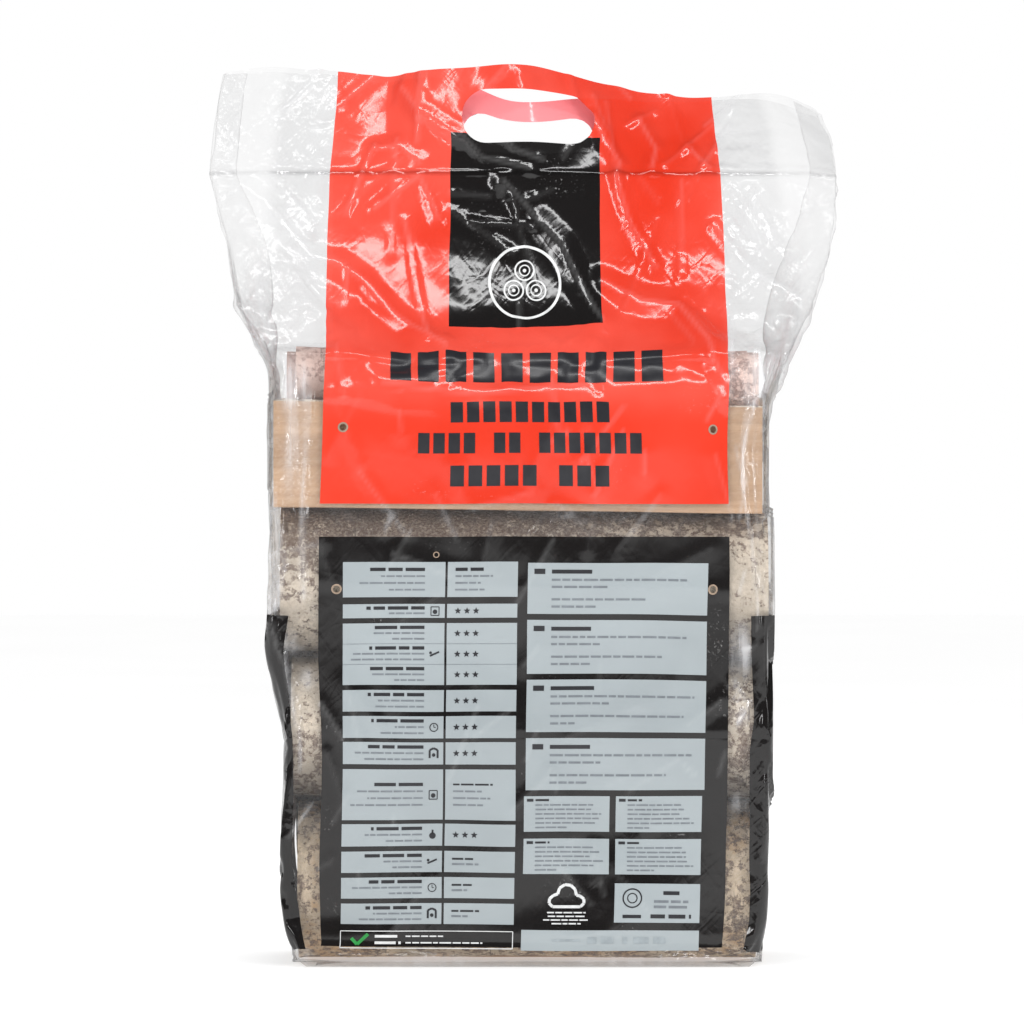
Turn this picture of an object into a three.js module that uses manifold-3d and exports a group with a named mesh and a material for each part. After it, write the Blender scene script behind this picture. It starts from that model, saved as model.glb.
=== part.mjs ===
// A welded film bag of split birch logs with a die-cut carry hole in its header.
// Millimetres, +Z up, front towards -Y. The origin is at the middle of the base.
import * as THREE from 'three';
import { mergeVertices } from 'three/addons/utils/BufferGeometryUtils.js';
import Module from 'manifold-3d';

const wasm = await Module();
wasm.setup();

// Driving dimensions of the film
const FILM = 0.8;             // wall thickness of the film solid
const HALF_DEPTH = 77;        // front and back sheets, from the middle plane
const WELD_Z = 511;           // height of the weld that closes the bag
const WELD_HALF_BAND = 3;     // the weld band above and below that height
const WELD_HALF_THICK = 1.6;  // two sheets and the slit between them
const TOP_Z = 581;            // highest point of the header
const GUSSET_RADIUS = 5;      // rounding of the upright edges round the logs

// Outer sections of the bag, from the base to the weld:
// height, reach to the left, reach to the right, half depth
const SECTIONS = [
  { z: 0, left: 146, right: 152, depth: 75.5 },
  { z: 6, left: 150, right: 155, depth: HALF_DEPTH },
  { z: 40, left: 154, right: 160, depth: HALF_DEPTH },
  { z: 110, left: 151.5, right: 160, depth: HALF_DEPTH },
  { z: 145, left: 152, right: 160, depth: HALF_DEPTH },
  { z: 195, left: 158, right: 160, depth: HALF_DEPTH },
  { z: 232, left: 164, right: 161, depth: HALF_DEPTH },
  { z: 345, left: 162, right: 159, depth: HALF_DEPTH },
  { z: 382, left: 164, right: 168, depth: HALF_DEPTH },
  { z: 406, left: 170, right: 177, depth: 64 },
  { z: 435, left: 183, right: 189, depth: 44 },
  { z: 471, left: 192, right: 199, depth: 21 },
  { z: 500, left: 199, right: 202, depth: 4.5 },
  { z: WELD_Z, left: 202, right: 202, depth: WELD_HALF_THICK },
];

// Carry hole in the header, a slot with round ends
const CARRY_HOLE = { x: 3, z: 549, length: 85, height: 34 };

// Vent holes, through the front and the back sheet
const VENT_RADIUS = 2.5;
const VENTS = [[-117, 350], [123, 349], [-120, 246], [123, 246]];

// Logs lie along X. Each is a round stick or a split sector of one: centre is the heart of
// the stick as [y, z], opening is [start angle, sweep] in degrees, ends is how far it
// reaches to the left and to the right.
const LOGS = [
  { name: 'log_front_bottom', centre: [-14.5, 54], radius: 52, opening: [92, 178], ends: [145, 151] },
  { name: 'log_rear_bottom', centre: [-11.5, 1.6], radius: 85, opening: [0, 89], ends: [143, 149] },
  { name: 'log_front_low', centre: [-27.5, 151.6], radius: 45.5, opening: [0, 360], ends: [149, 157] },
  { name: 'log_rear_low', centre: [74, 116], radius: 54, opening: [181, 88], ends: [148, 156] },
  { name: 'log_rear_middle', centre: [74, 117.5], radius: 59, opening: [91, 88], ends: [149, 155] },
  { name: 'log_rear_round', centre: [37, 206], radius: 36, opening: [0, 360], ends: [152, 158] },
  { name: 'log_front_middle', centre: [-25.5, 246], radius: 48, opening: [91, 179], ends: [156, 158] },
  { name: 'log_rear_high', centre: [-22.5, 294], radius: 70, opening: [272, 87], ends: [154, 153] },
  { name: 'log_front_high', centre: [-73.5, 295], radius: 71, opening: [1, 88], ends: [160, 154] },
  { name: 'log_rear_top', centre: [-0.5, 296], radius: 72, opening: [2, 88], ends: [157, 156] },
  { name: 'stick_front_top', centre: [-41.5, 380.5], radius: 19.5, opening: [0, 360], ends: [146, 152] },
  { name: 'stick_rear_top', centre: [50.5, 376], radius: 22, opening: [0, 360], ends: [154, 147] },
];

// A closed solid for cutting and joining, from a geometry's merged corners.
function solid(geometry) {
  const bare = geometry.clone();
  bare.deleteAttribute('normal');
  bare.deleteAttribute('uv');
  const merged = mergeVertices(bare, 1e-4);
  return new wasm.Manifold(new wasm.Mesh({
    numProp: 3,
    vertProperties: new Float32Array(merged.attributes.position.array),
    triVerts: new Uint32Array(merged.index.array),
  }));
}

function geometryOf(manifold) {
  const mesh = manifold.getMesh();
  const geometry = new THREE.BufferGeometry();
  geometry.setAttribute('position', new THREE.BufferAttribute(new Float32Array(mesh.vertProperties), 3));
  geometry.setIndex(new THREE.BufferAttribute(new Uint32Array(mesh.triVerts), 1));
  geometry.computeVertexNormals();
  return geometry;
}

// An outline drawn in X and Z, carried along Y from -halfDepth to +halfDepth.
function alongY(shape, halfDepth) {
  const options = { depth: 2 * halfDepth, bevelEnabled: false, curveSegments: 16 };
  const geometry = new THREE.ExtrudeGeometry(shape, options);
  geometry.translate(0, 0, -halfDepth);
  return geometry.rotateX(Math.PI / 2);
}

// One level outline of the bag: a rectangle with rounded corners, its size cut by inset.
function sectionRing({ z, left, right, depth }, inset) {
  const halfDepth = depth - inset;
  const radius = Math.min(GUSSET_RADIUS - inset, halfDepth);
  const corners = [[right - inset, 0], [-left + inset, 1], [-left + inset, 2], [right - inset, 3]];
  const ring = [];
  for (const [x, quarter] of corners) {
    const towardsMiddle = Math.sign(x) * -radius;
    const side = quarter < 2 ? 1 : -1;
    for (let step = 0; step <= 5; step += 1) {
      const angle = (quarter + step / 5) * Math.PI / 2;
      ring.push([
        x + towardsMiddle + radius * Math.cos(angle),
        side * (halfDepth - radius) + radius * Math.sin(angle),
        z,
      ]);
    }
  }
  return ring;
}

// A skin through level rings of equal length, closed by a fan at its foot and its top.
function loft(rings) {
  const count = rings[0].length;
  const points = rings.flat();
  const faces = [];
  for (let level = 0; level < rings.length - 1; level += 1) {
    for (let i = 0; i < count; i += 1) {
      const a = level * count + i;
      const b = level * count + (i + 1) % count;
      faces.push(a, b, b + count, a, b + count, a + count);
    }
  }
  const last = (rings.length - 1) * count;
  for (let i = 1; i < count - 1; i += 1) {
    faces.push(0, i + 1, i);
    faces.push(last, last + i, last + i + 1);
  }
  const geometry = new THREE.BufferGeometry();
  geometry.setAttribute('position', new THREE.Float32BufferAttribute(points.flat(), 3));
  geometry.setIndex(faces);
  return geometry;
}

// The section between two neighbouring ones, at the height z.
function sectionAt(z) {
  const upper = SECTIONS.findIndex((section) => section.z >= z);
  const high = SECTIONS[upper];
  const low = SECTIONS[Math.max(upper - 1, 0)];
  const share = high.z === low.z ? 0 : (z - low.z) / (high.z - low.z);
  const mix = (key) => THREE.MathUtils.lerp(low[key], high[key], share);
  return { z, left: mix('left'), right: mix('right'), depth: mix('depth') };
}

function bagBody() {
  const outer = solid(loft(SECTIONS.map((section) => sectionRing(section, 0))));
  const ceiling = WELD_Z - WELD_HALF_BAND;
  const inside = SECTIONS.filter(({ z }) => z > FILM && z < ceiling);
  const levels = [sectionAt(FILM), ...inside, sectionAt(ceiling)];
  const inner = solid(loft(levels.map((section) => sectionRing(section, FILM))));
  return { outer, inner };
}

// The header's outline: straight up from the weld, then a limp, wavy top edge.
function headerOutline() {
  const overlap = 2;
  const outline = new THREE.Shape();
  outline.moveTo(-202, WELD_Z - overlap);
  outline.lineTo(202, WELD_Z - overlap);
  outline.lineTo(201, 532);
  outline.splineThru([
    new THREE.Vector2(189, 547),
    new THREE.Vector2(158, 561),
    new THREE.Vector2(77, 560),
    new THREE.Vector2(0, TOP_Z),
    new THREE.Vector2(-60, 578),
    new THREE.Vector2(-89, 572),
    new THREE.Vector2(-118, 577),
    new THREE.Vector2(-195, 576),
  ]);
  outline.closePath();
  return outline;
}

// The pocket between the header's two sheets, open at the top edge.
function headerPocket() {
  const pocket = new THREE.Shape();
  const foot = WELD_Z + WELD_HALF_BAND;
  const above = TOP_Z + 10;
  pocket.moveTo(-200, foot);
  pocket.lineTo(200, foot);
  pocket.lineTo(187, 546);
  pocket.lineTo(180, above);
  pocket.lineTo(-192, above);
  pocket.closePath();
  return pocket;
}

function carryHole() {
  const { x, z, length, height } = CARRY_HOLE;
  const radius = height / 2;
  const reach = length / 2 - radius;
  const slot = new THREE.Shape();
  slot.absarc(x + reach, z, radius, -Math.PI / 2, Math.PI / 2, false);
  slot.absarc(x - reach, z, radius, Math.PI / 2, Math.PI * 1.5, false);
  slot.closePath();
  return slot;
}

function vent([x, z]) {
  const geometry = new THREE.CylinderGeometry(VENT_RADIUS, VENT_RADIUS, 2 * HALF_DEPTH + 10, 12);
  return geometry.translate(x, 0, z);
}

function filmBag() {
  const { outer, inner } = bagBody();
  const header = solid(alongY(headerOutline(), WELD_HALF_THICK));
  const pocket = solid(alongY(headerPocket(), WELD_HALF_THICK - FILM));
  let bag = outer.add(header).subtract(inner).subtract(pocket);
  bag = bag.subtract(solid(alongY(carryHole(), 10)));
  for (const place of VENTS) {
    bag = bag.subtract(solid(vent(place)));
  }
  return geometryOf(bag);
}

// A log: a circle or a sector drawn in Y and Z, carried along X between its two sawn ends.
function log({ centre, radius, opening, ends }) {
  const [y, z] = centre;
  const [from, sweep] = opening;
  const [left, right] = ends;
  const start = THREE.MathUtils.degToRad(from);
  const end = THREE.MathUtils.degToRad(from + sweep);
  const outline = new THREE.Shape();
  if (sweep < 360) {
    outline.moveTo(y, z);
    outline.lineTo(y + radius * Math.cos(start), z + radius * Math.sin(start));
  }
  outline.absarc(y, z, radius, start, end, false);
  if (sweep < 360) {
    outline.closePath();
  }
  const geometry = new THREE.ExtrudeGeometry(outline, {
    depth: left + right,
    bevelEnabled: false,
    curveSegments: Math.ceil(sweep / 10),
  });
  const alongX = new THREE.Matrix4().makeBasis(
    new THREE.Vector3(0, 1, 0),
    new THREE.Vector3(0, 0, 1),
    new THREE.Vector3(1, 0, 0),
  );
  geometry.applyMatrix4(alongX);
  return geometry.translate(-left, 0, 0);
}

function piece(name, geometry, colour, roughness) {
  const material = new THREE.MeshStandardMaterial({ color: colour, roughness, metalness: 0 });
  const mesh = new THREE.Mesh(geometry, material);
  mesh.name = name;
  return mesh;
}

const FILM_COLOUR = 0xe6e7ea;
const WHITE_BARK = 0xcbc4b8;
const DARK_BARK = 0x6a5850;
const SPLIT_WOOD = 0xd8bd8f;
const BARKED = ['log_front_low', 'log_front_middle', 'log_rear_round'];
const THIN_STICKS = ['stick_front_top', 'stick_rear_top'];

function logColour(name) {
  if (BARKED.includes(name)) {
    return WHITE_BARK;
  }
  return THIN_STICKS.includes(name) ? DARK_BARK : SPLIT_WOOD;
}

const bundle = new THREE.Group();
bundle.add(piece('film_bag', filmBag(), FILM_COLOUR, 0.25));
for (const entry of LOGS) {
  bundle.add(piece(entry.name, log(entry), logColour(entry.name), 0.85));
}

export default bundle;
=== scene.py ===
"""Birch firewood in a clear, printed carry bag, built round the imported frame.

Lengths are metres. X runs along the logs, the printed front faces -Y and Z is up.
The film is a tube: u runs round it, from the middle of the front, and h up it.
"""

import math

import bpy
import numpy as np
from bpy.props import FloatProperty, FloatVectorProperty, IntProperty, PointerProperty
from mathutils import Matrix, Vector


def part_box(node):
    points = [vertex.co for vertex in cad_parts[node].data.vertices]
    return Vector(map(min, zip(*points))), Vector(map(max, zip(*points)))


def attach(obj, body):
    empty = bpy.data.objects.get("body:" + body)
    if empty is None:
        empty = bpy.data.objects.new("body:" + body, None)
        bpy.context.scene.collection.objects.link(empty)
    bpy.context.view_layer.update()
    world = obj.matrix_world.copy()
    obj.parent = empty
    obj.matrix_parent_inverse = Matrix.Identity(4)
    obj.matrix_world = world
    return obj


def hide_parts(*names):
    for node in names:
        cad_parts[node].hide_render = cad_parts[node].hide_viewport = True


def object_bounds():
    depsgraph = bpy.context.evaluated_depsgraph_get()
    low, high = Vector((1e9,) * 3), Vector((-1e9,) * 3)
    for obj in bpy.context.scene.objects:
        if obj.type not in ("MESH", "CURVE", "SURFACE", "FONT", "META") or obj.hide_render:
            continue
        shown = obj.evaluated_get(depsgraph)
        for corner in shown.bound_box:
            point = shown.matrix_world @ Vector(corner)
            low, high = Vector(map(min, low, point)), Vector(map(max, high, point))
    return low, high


bl_info = {
    "name": "Bagged birch firewood",
    "version": (1, 0, 0),
    "blender": (4, 5, 0),
    "location": "View3D > Sidebar > Firewood",
    "description": "Builds birch logs in a welded, printed film bag around a packed frame",
    "category": "Object",
}

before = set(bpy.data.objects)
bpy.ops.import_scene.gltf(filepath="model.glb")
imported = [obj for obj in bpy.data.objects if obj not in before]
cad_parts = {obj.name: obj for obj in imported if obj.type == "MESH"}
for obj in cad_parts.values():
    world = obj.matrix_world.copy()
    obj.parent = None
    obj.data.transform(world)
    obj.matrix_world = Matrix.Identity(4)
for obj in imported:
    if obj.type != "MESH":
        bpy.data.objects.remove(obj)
CAD_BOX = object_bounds()
BAG_TOP = float(CAD_BOX[1][2])
MM = 0.001
LOG_HALF = 0.155
PRINT_HALF = 133
# Rows of the settling grid in the bottom fold.
UNDER_ROWS = 12
# Distance round from the middle of a sheet: to its sides, and to the end of the finest cells.
SHEET_HALF, FINE_HALF = 0.166, 0.19
# Film to log: the least gap, what it grows by at a log's corners, and how far past them it reaches.
FILM_GAP, CORNER_ROOM, CORNER_REACH = 0.0022, 0.0018, 0.0036
# Half the side of a vent hole, in mm, and the least distance of the header's two sheets.
VENT_HALF, HEADER_GAP = 2.3, 0.0010

# The bag's shape, as (height, value) pairs in mm. Heights below 0 are the folded bottom.
LEFT_REACH = (
    (-77, 120), (-2, 136), (0, 140), (6, 147), (23, 153), (45, 156), (85, 156.5), (110, 155.5),
    (145, 154), (178, 160), (205, 166), (240, 164.5), (300, 166.5), (345, 165), (382, 166),
    (400, 174), (420, 184.5), (440, 188.5), (460, 190.5), (480, 195), (500, 200.5), (511, 203.5),
    (540, 201), (581, 194.5),
)
RIGHT_REACH = (
    (-77, 130), (-2, 143), (0, 147), (6, 152), (26, 157), (65, 159.5), (117, 159.5), (182, 159),
    (234, 160), (280, 159.5), (331, 158.5), (367, 164.5), (385, 172), (400, 178), (420, 187),
    (440, 194), (460, 199.5), (480, 203), (511, 204), (535, 202.5), (550, 195.5), (581, 190),
)
HALF_DEPTH = (
    (-77, 0.6), (-3, 74), (0, 75.5), (6, 76.5), (385, 76.5), (396, 71), (406, 64), (435, 45),
    (471, 21), (500, 4.5), (508, 1.2), (514, 1.0), (545, 1.8), (581, 4.0),
)
FOLD_LINE = ((-77, 163), (385, 163), (435, 180), (480, 200), (511, 211), (581, 211))
PRINT_CENTRE = ((0, -1.6), (20, -1.2), (277, 2.2), (299, 2.6), (513, 1.6), (581, 2.2))
PRINT_SPREAD = ((0, 0.99), (299, 0.995), (513, 0.952), (577, 0.915))
# How far the header leans back, as (x in mm, degrees).
HEADER_LEAN = (
    (-202, 24), (-160, 16), (-118, 20), (-89, 29), (-60, 15), (-27, 5), (0, 3), (28, 20),
    (51, 34), (77, 44), (138, 45), (158, 44), (174, 49), (188, 59), (202, 66),
)
# Sharp folds of the front film: (ridge height, half width), then points (u, h), all in mm.
FRONT_FOLDS = (
    ((3.5, 9), (-86, 571), (-74, 554), (-44, 535)),
    ((2.5, 10), (-104, 528), (-86, 531), (-72, 518)),
    ((2.5, 8), (-102, 489), (-72, 509), (-60, 484)),
    ((3.0, 10), (-125, 456), (-107, 445), (-87, 426), (-53, 404)),
    ((3.0, 8), (-200, 513), (-169, 490), (-142, 460), (-125, 456)),
    ((2.0, 6), (-156, 490), (-143, 474)),
    ((3.5, 8), (46, 553), (65, 518), (62, 509)),
    ((3.0, 9), (80, 558), (91, 533), (87, 515)),
    ((2.0, 7), (115, 533), (126, 515)),
    ((3.0, 8), (62, 509), (71, 481), (87, 456)),
    ((3.5, 12), (-15, 506), (5, 486), (24, 469), (51, 422)),
    ((3.0, 11), (51, 447), (78, 435), (102, 432), (123, 400), (134, 369)),
    ((3.0, 8), (150, 500), (158, 470), (176, 440)),
    ((2.5, 7), (128, 480), (150, 448), (174, 429)),
    ((2.5, 5), (-142, 372), (-144, 312), (-142, 240)),
    ((2.0, 5), (-163, 312), (-157, 286), (-153, 260), (-158, 232)),
    ((2.5, 5), (152, 367), (145, 312), (152, 273), (155, 221)),
    ((2.0, 5), (137, 187), (147, 172), (140, 160)),
    ((2.0, 5), (-160, 226), (-152, 198), (-151, 130)),
    ((1.5, 6), (-20, 548), (-8, 527), (12, 520)),
    ((2.0, 7), (-44, 538), (-30, 522), (4, 514)),
    ((1.5, 9), (-95, 380), (-30, 372), (40, 380)),
)


class FilmSettings(bpy.types.PropertyGroup):
    """Sizes and inks of the film bag."""

    round_length: FloatProperty(
        name="Round length", description="Length of the film tube, once round the bag",
        default=0.95, subtype="DISTANCE", unit="LENGTH",
    )
    shoulder: FloatProperty(
        name="Shoulder", description="Height where the film leaves the logs",
        default=0.385, subtype="DISTANCE", unit="LENGTH",
    )
    weld: FloatProperty(
        name="Weld", description="Height of the weld under the header",
        default=0.511, subtype="DISTANCE", unit="LENGTH",
    )
    under: FloatProperty(
        name="Bottom fold", description="Film folded under the bag from front and back",
        default=0.077, subtype="DISTANCE", unit="LENGTH",
    )
    slack: FloatProperty(
        name="Slack", description="Share by which the film is larger than what it wraps",
        default=0.027, subtype="FACTOR",
    )
    steps: IntProperty(name="Settling steps", description="Frames of cloth motion", default=26)
    coarse_step: FloatProperty(
        name="Settling mesh", description="Cell of the mesh that settles",
        default=0.0052, subtype="DISTANCE", unit="LENGTH",
    )
    fine_step: FloatProperty(
        name="Finished mesh", description="Smallest cell of the finished film, at the header's front",
        default=0.0020, subtype="DISTANCE", unit="LENGTH",
    )
    orange: FloatVectorProperty(
        name="Orange ink", description="Colour of the upper panel", subtype="COLOR",
        default=(0.705, 0.035, 0.0125), min=0, max=1,
    )
    black: FloatVectorProperty(
        name="Black ink", description="Colour of the lower panel", subtype="COLOR",
        default=(0.009, 0.008, 0.008), min=0, max=1,
    )
    pale: FloatVectorProperty(
        name="Pale ink", description="Colour of the boxes", subtype="COLOR",
        default=(0.345, 0.385, 0.402), min=0, max=1,
    )
    clear: FloatVectorProperty(
        name="Film", description="Milky tint of the unprinted film", subtype="COLOR",
        default=(0.86, 0.86, 0.88), min=0, max=1,
    )


class WoodSettings(bpy.types.PropertyGroup):
    """Colours of the birch logs."""

    white_bark: FloatVectorProperty(
        name="White bark", description="Papery outer bark", subtype="COLOR",
        default=(0.66, 0.57, 0.46), min=0, max=1,
    )
    brown_bark: FloatVectorProperty(
        name="Brown bark", description="Bark of thin sticks", subtype="COLOR",
        default=(0.74, 0.55, 0.48), min=0, max=1,
    )
    split_wood: FloatVectorProperty(
        name="Split wood", description="Freshly split faces", subtype="COLOR",
        default=(0.53, 0.345, 0.215), min=0, max=1,
    )
    sawn_end: FloatVectorProperty(
        name="Sawn end", description="End grain", subtype="COLOR",
        default=(0.60, 0.43, 0.26), min=0, max=1,
    )


# --- Smooth noise and grids -------------------------------------------------------------


def lattice_noise(a, b, seed):
    """Smooth noise: random values at whole numbers of a and b, eased in between, -1 to 1."""
    size = 128
    table = np.random.default_rng(seed).uniform(-1, 1, (size, size))
    low_a, low_b = np.floor(a).astype(int), np.floor(b).astype(int)
    fa, fb = a - low_a, b - low_b
    fa, fb = fa * fa * (3 - 2 * fa), fb * fb * (3 - 2 * fb)
    ia, ib, ja, jb = low_a % size, low_b % size, (low_a + 1) % size, (low_b + 1) % size
    low = table[ia, ib] * (1 - fa) + table[ja, ib] * fa
    high = table[ia, jb] * (1 - fa) + table[ja, jb] * fa
    return low * (1 - fb) + high * fb


def layered_noise(a, b, seed, layers=3):
    """Layers of smooth noise, each twice as fine and half as strong as the one before."""
    total = sum(0.5**k * lattice_noise(a * 2**k, b * 2**k, seed + k) for k in range(layers))
    return total / sum(0.5**k for k in range(layers))


def ease(x):
    """0 below 0, 1 above 1, and a smooth S between."""
    x = np.clip(x, 0, 1)
    return x * x * (3 - 2 * x)


def profile(height, table):
    """The value at a height, straight between the table's (height, value) pairs in mm."""
    points = np.array(table, float).T * MM
    return np.interp(height, points[0], points[1])


def lines_through(edges, step_at):
    """Grid lines through every edge value, about step_at(place) apart between them."""
    edges = sorted(set(round(float(e), 6) for e in edges))
    parts = []
    for low, high in zip(edges[:-1], edges[1:]):
        count = max(1, round((high - low) / step_at(0.5 * (low + high))))
        parts.append(np.linspace(low, high, count, endpoint=False))
    return np.concatenate([*parts, [edges[-1]]])


def mesh_object(name, points, faces, smooth=True):
    """A mesh object at the origin from an array of points and a list of faces."""
    mesh = bpy.data.meshes.new(name)
    mesh.from_pydata(np.asarray(points, float).reshape(-1, 3).tolist(), [], faces)
    mesh.polygons.foreach_set("use_smooth", np.full(len(mesh.polygons), smooth))
    mesh.update()
    made = bpy.data.objects.new(name, mesh)
    bpy.context.scene.collection.objects.link(made)
    return made


# --- Materials --------------------------------------------------------------------------


class Nodes:
    """Short calls for adding and joining shader nodes in one tree."""

    def __init__(self, tree):
        self.tree = tree

    def add(self, kind, **settings):
        node = self.tree.nodes.new(kind)
        for key, value in settings.items():
            if key.startswith("in_"):
                node.inputs[int(key[3:])].default_value = value
            else:
                setattr(node, key, value)
        return node

    def link(self, out, into):
        self.tree.links.new(out, into)

    def math(self, operation, a, b=0.0, clamp=False):
        node = self.add("ShaderNodeMath", operation=operation, use_clamp=clamp)
        for socket, value in zip(node.inputs, (a, b)):
            if isinstance(value, (int, float)):
                socket.default_value = value
            else:
                self.link(value, socket)
        return node.outputs[0]

    def times(self, a, b, clamp=False):
        return self.math("MULTIPLY", a, b, clamp)

    def plus(self, a, b, clamp=False):
        return self.math("ADD", a, b, clamp)

    def minus(self, a, b):
        return self.math("SUBTRACT", a, b)

    def noise(self, vector, scale, detail=3.0, roughness=0.55, distortion=0.0):
        node = self.add("ShaderNodeTexNoise")
        node.inputs["Scale"].default_value = scale
        node.inputs["Detail"].default_value = detail
        node.inputs["Roughness"].default_value = roughness
        node.inputs["Distortion"].default_value = distortion
        self.link(vector, node.inputs["Vector"])
        return node.outputs["Fac"]

    def ramp(self, value, low, high, out_low=0.0, out_high=1.0):
        node = self.add("ShaderNodeMapRange", interpolation_type="SMOOTHSTEP")
        node.inputs["From Min"].default_value = low
        node.inputs["From Max"].default_value = high
        node.inputs["To Min"].default_value = out_low
        node.inputs["To Max"].default_value = out_high
        self.link(value, node.inputs["Value"])
        return node.outputs["Result"]

    def mix(self, share, a, b):
        node = self.add("ShaderNodeMix", data_type="RGBA")
        for socket, value in ((node.inputs["Factor"], share), (node.inputs[6], a), (node.inputs[7], b)):
            if isinstance(value, bpy.types.NodeSocket):
                self.link(value, socket)
            elif isinstance(value, (int, float)):
                socket.default_value = value
            else:
                socket.default_value = (*value[:3], 1.0)
        return node.outputs[2]

    def stretched(self, vector, scale):
        node = self.add("ShaderNodeMapping")
        node.inputs["Scale"].default_value = scale
        self.link(vector, node.inputs["Vector"])
        return node.outputs["Vector"]

    def bump(self, height, strength, distance, normal=None):
        node = self.add("ShaderNodeBump")
        node.inputs["Strength"].default_value = strength
        node.inputs["Distance"].default_value = distance
        self.link(height, node.inputs["Height"])
        if normal is not None:
            self.link(normal, node.inputs["Normal"])
        return node.outputs["Normal"]


def group(name, inputs, outputs, fill):
    """A shader node group: fill(nodes, inlet, outlet) joins its inside."""
    tree = bpy.data.node_groups.new(name, "ShaderNodeTree")
    for label, kind, default in inputs:
        socket = tree.interface.new_socket(name=label, in_out="INPUT", socket_type=kind)
        if default is not None:
            socket.default_value = default
    for label, kind in outputs:
        tree.interface.new_socket(name=label, in_out="OUTPUT", socket_type=kind)
    nodes = Nodes(tree)
    inlet = nodes.add("NodeGroupInput")
    outlet = nodes.add("NodeGroupOutput")
    fill(nodes, inlet.outputs, outlet.inputs)
    return tree


FLOAT, VECTOR = "NodeSocketFloat", "NodeSocketVector"


def crumple_group():
    """Fine crumples of limp film: long sharp ridges in two directions over soft dents."""

    def fill(nodes, inlet, outlet):
        def ridges(turn, scale):
            turned = nodes.add("ShaderNodeMapping")
            turned.inputs["Rotation"].default_value = (0, math.radians(turn), 0)
            nodes.link(inlet["Vector"], turned.inputs["Vector"])
            value = nodes.noise(nodes.stretched(turned.outputs["Vector"], scale), 1.0, 1.5, 0.5, 0.6)
            return nodes.math("ABSOLUTE", nodes.minus(value, 0.5))

        first = ridges(35, (95.0, 60.0, 22.0))
        second = ridges(-42, (120.0, 60.0, 30.0))
        third = ridges(80, (60.0, 60.0, 20.0))
        soft = nodes.noise(inlet["Vector"], 36.0, 2.0)
        patch = nodes.ramp(nodes.noise(inlet["Vector"], 12.0, 2.0), 0.40, 0.66)
        total = nodes.plus(nodes.plus(first, second), third)
        creased = nodes.times(total, nodes.ramp(patch, 0.0, 1.0, 0.3, 1.0))
        nodes.link(nodes.minus(nodes.times(soft, 0.5), creased), outlet["Height"])
        nodes.link(patch, outlet["Patch"])

    return group("Film crumple", [("Vector", VECTOR, None)], [("Height", FLOAT), ("Patch", FLOAT)], fill)


def scuff_and_glint_group():
    """Rubbed specks and short scratches, which also stand for small painted glints on the crumples, as a mask
    from 0, clean, to 1, worn and glinting.
    """

    def fill(nodes, inlet, outlet):
        places = nodes.ramp(nodes.noise(inlet["Vector"], 17.0, 2.0), 0.60, 0.74)
        specks = nodes.ramp(nodes.noise(inlet["Vector"], 420.0, 3.0, 0.7), 0.60, 0.72)
        lines = nodes.stretched(inlet["Vector"], (90.0, 90.0, 520.0))
        scratches = nodes.ramp(nodes.noise(lines, 1.0, 2.0), 0.70, 0.78)
        marks = nodes.math("MAXIMUM", specks, scratches)
        places = nodes.math("MAXIMUM", places, inlet["Rubbed and glinting"])
        wear_and_glint = nodes.times(nodes.times(places, marks), inlet["Amount"], True)
        nodes.link(wear_and_glint, outlet["Worn and glinting"])

    return group(
        "Film scuffs and glints", [("Vector", VECTOR, None), ("Amount", FLOAT, 1.0), ("Rubbed and glinting", FLOAT, 0.0)],
        [("Worn and glinting", FLOAT)], fill,
    )


def fibre_group():
    """Long wood fibres along X: a height and a streak mask."""

    def fill(nodes, inlet, outlet):
        long = nodes.stretched(inlet["Vector"], (9.0, 330.0, 330.0))
        broad = nodes.stretched(inlet["Vector"], (5.0, 60.0, 60.0))
        fine = nodes.noise(long, 1.0, 4.0, 0.65)
        wide = nodes.noise(broad, 1.0, 3.0, 0.5, 0.4)
        nodes.link(nodes.plus(fine, nodes.times(wide, 0.8)), outlet["Height"])
        nodes.link(nodes.ramp(fine, 0.35, 0.75), outlet["Fine"])
        nodes.link(nodes.ramp(wide, 0.35, 0.68), outlet["Broad"])

    outputs = [(name, FLOAT) for name in ("Height", "Fine", "Broad")]
    return group("Wood fibres", [("Vector", VECTOR, None)], outputs, fill)


def bark_group():
    """Birch bark: pore lines that run round the log, lichen blots and fine specks."""

    def fill(nodes, inlet, outlet):
        across = nodes.stretched(inlet["Vector"], (230.0, 30.0, 30.0))
        pores = nodes.noise(across, 1.0, 3.0, 0.6)
        blots = nodes.noise(inlet["Vector"], 165.0, 7.0, 0.76)
        specks = nodes.noise(inlet["Vector"], 520.0, 3.0, 0.7)
        clouds = nodes.noise(inlet["Vector"], 21.0, 4.0, 0.6)
        reach = nodes.plus(nodes.times(clouds, 0.20), nodes.times(blots, 1.15))
        limit = nodes.minus(0.885, nodes.times(inlet["Lichen and shading"], 0.42))
        lichen = nodes.times(nodes.minus(reach, limit), 21.0, True)
        grit = nodes.ramp(specks, 0.36, 0.60, 0.62, 1.0)
        nodes.link(nodes.ramp(pores, 0.62, 0.69), outlet["Pores"])
        nodes.link(nodes.times(lichen, grit), outlet["Lichen and shading"])
        nodes.link(nodes.ramp(clouds, 0.35, 0.65), outlet["Clouds"])
        nodes.link(nodes.ramp(specks, 0.35, 0.70), outlet["Specks"])
        height = nodes.plus(nodes.times(pores, 0.6), nodes.times(blots, 0.9))
        nodes.link(height, outlet["Height"])

    outputs = [(name, FLOAT) for name in ("Pores", "Lichen and shading", "Clouds", "Specks", "Height")]
    return group("Birch bark", [("Vector", VECTOR, None), ("Lichen and shading", FLOAT, 0.4)], outputs, fill)


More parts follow.
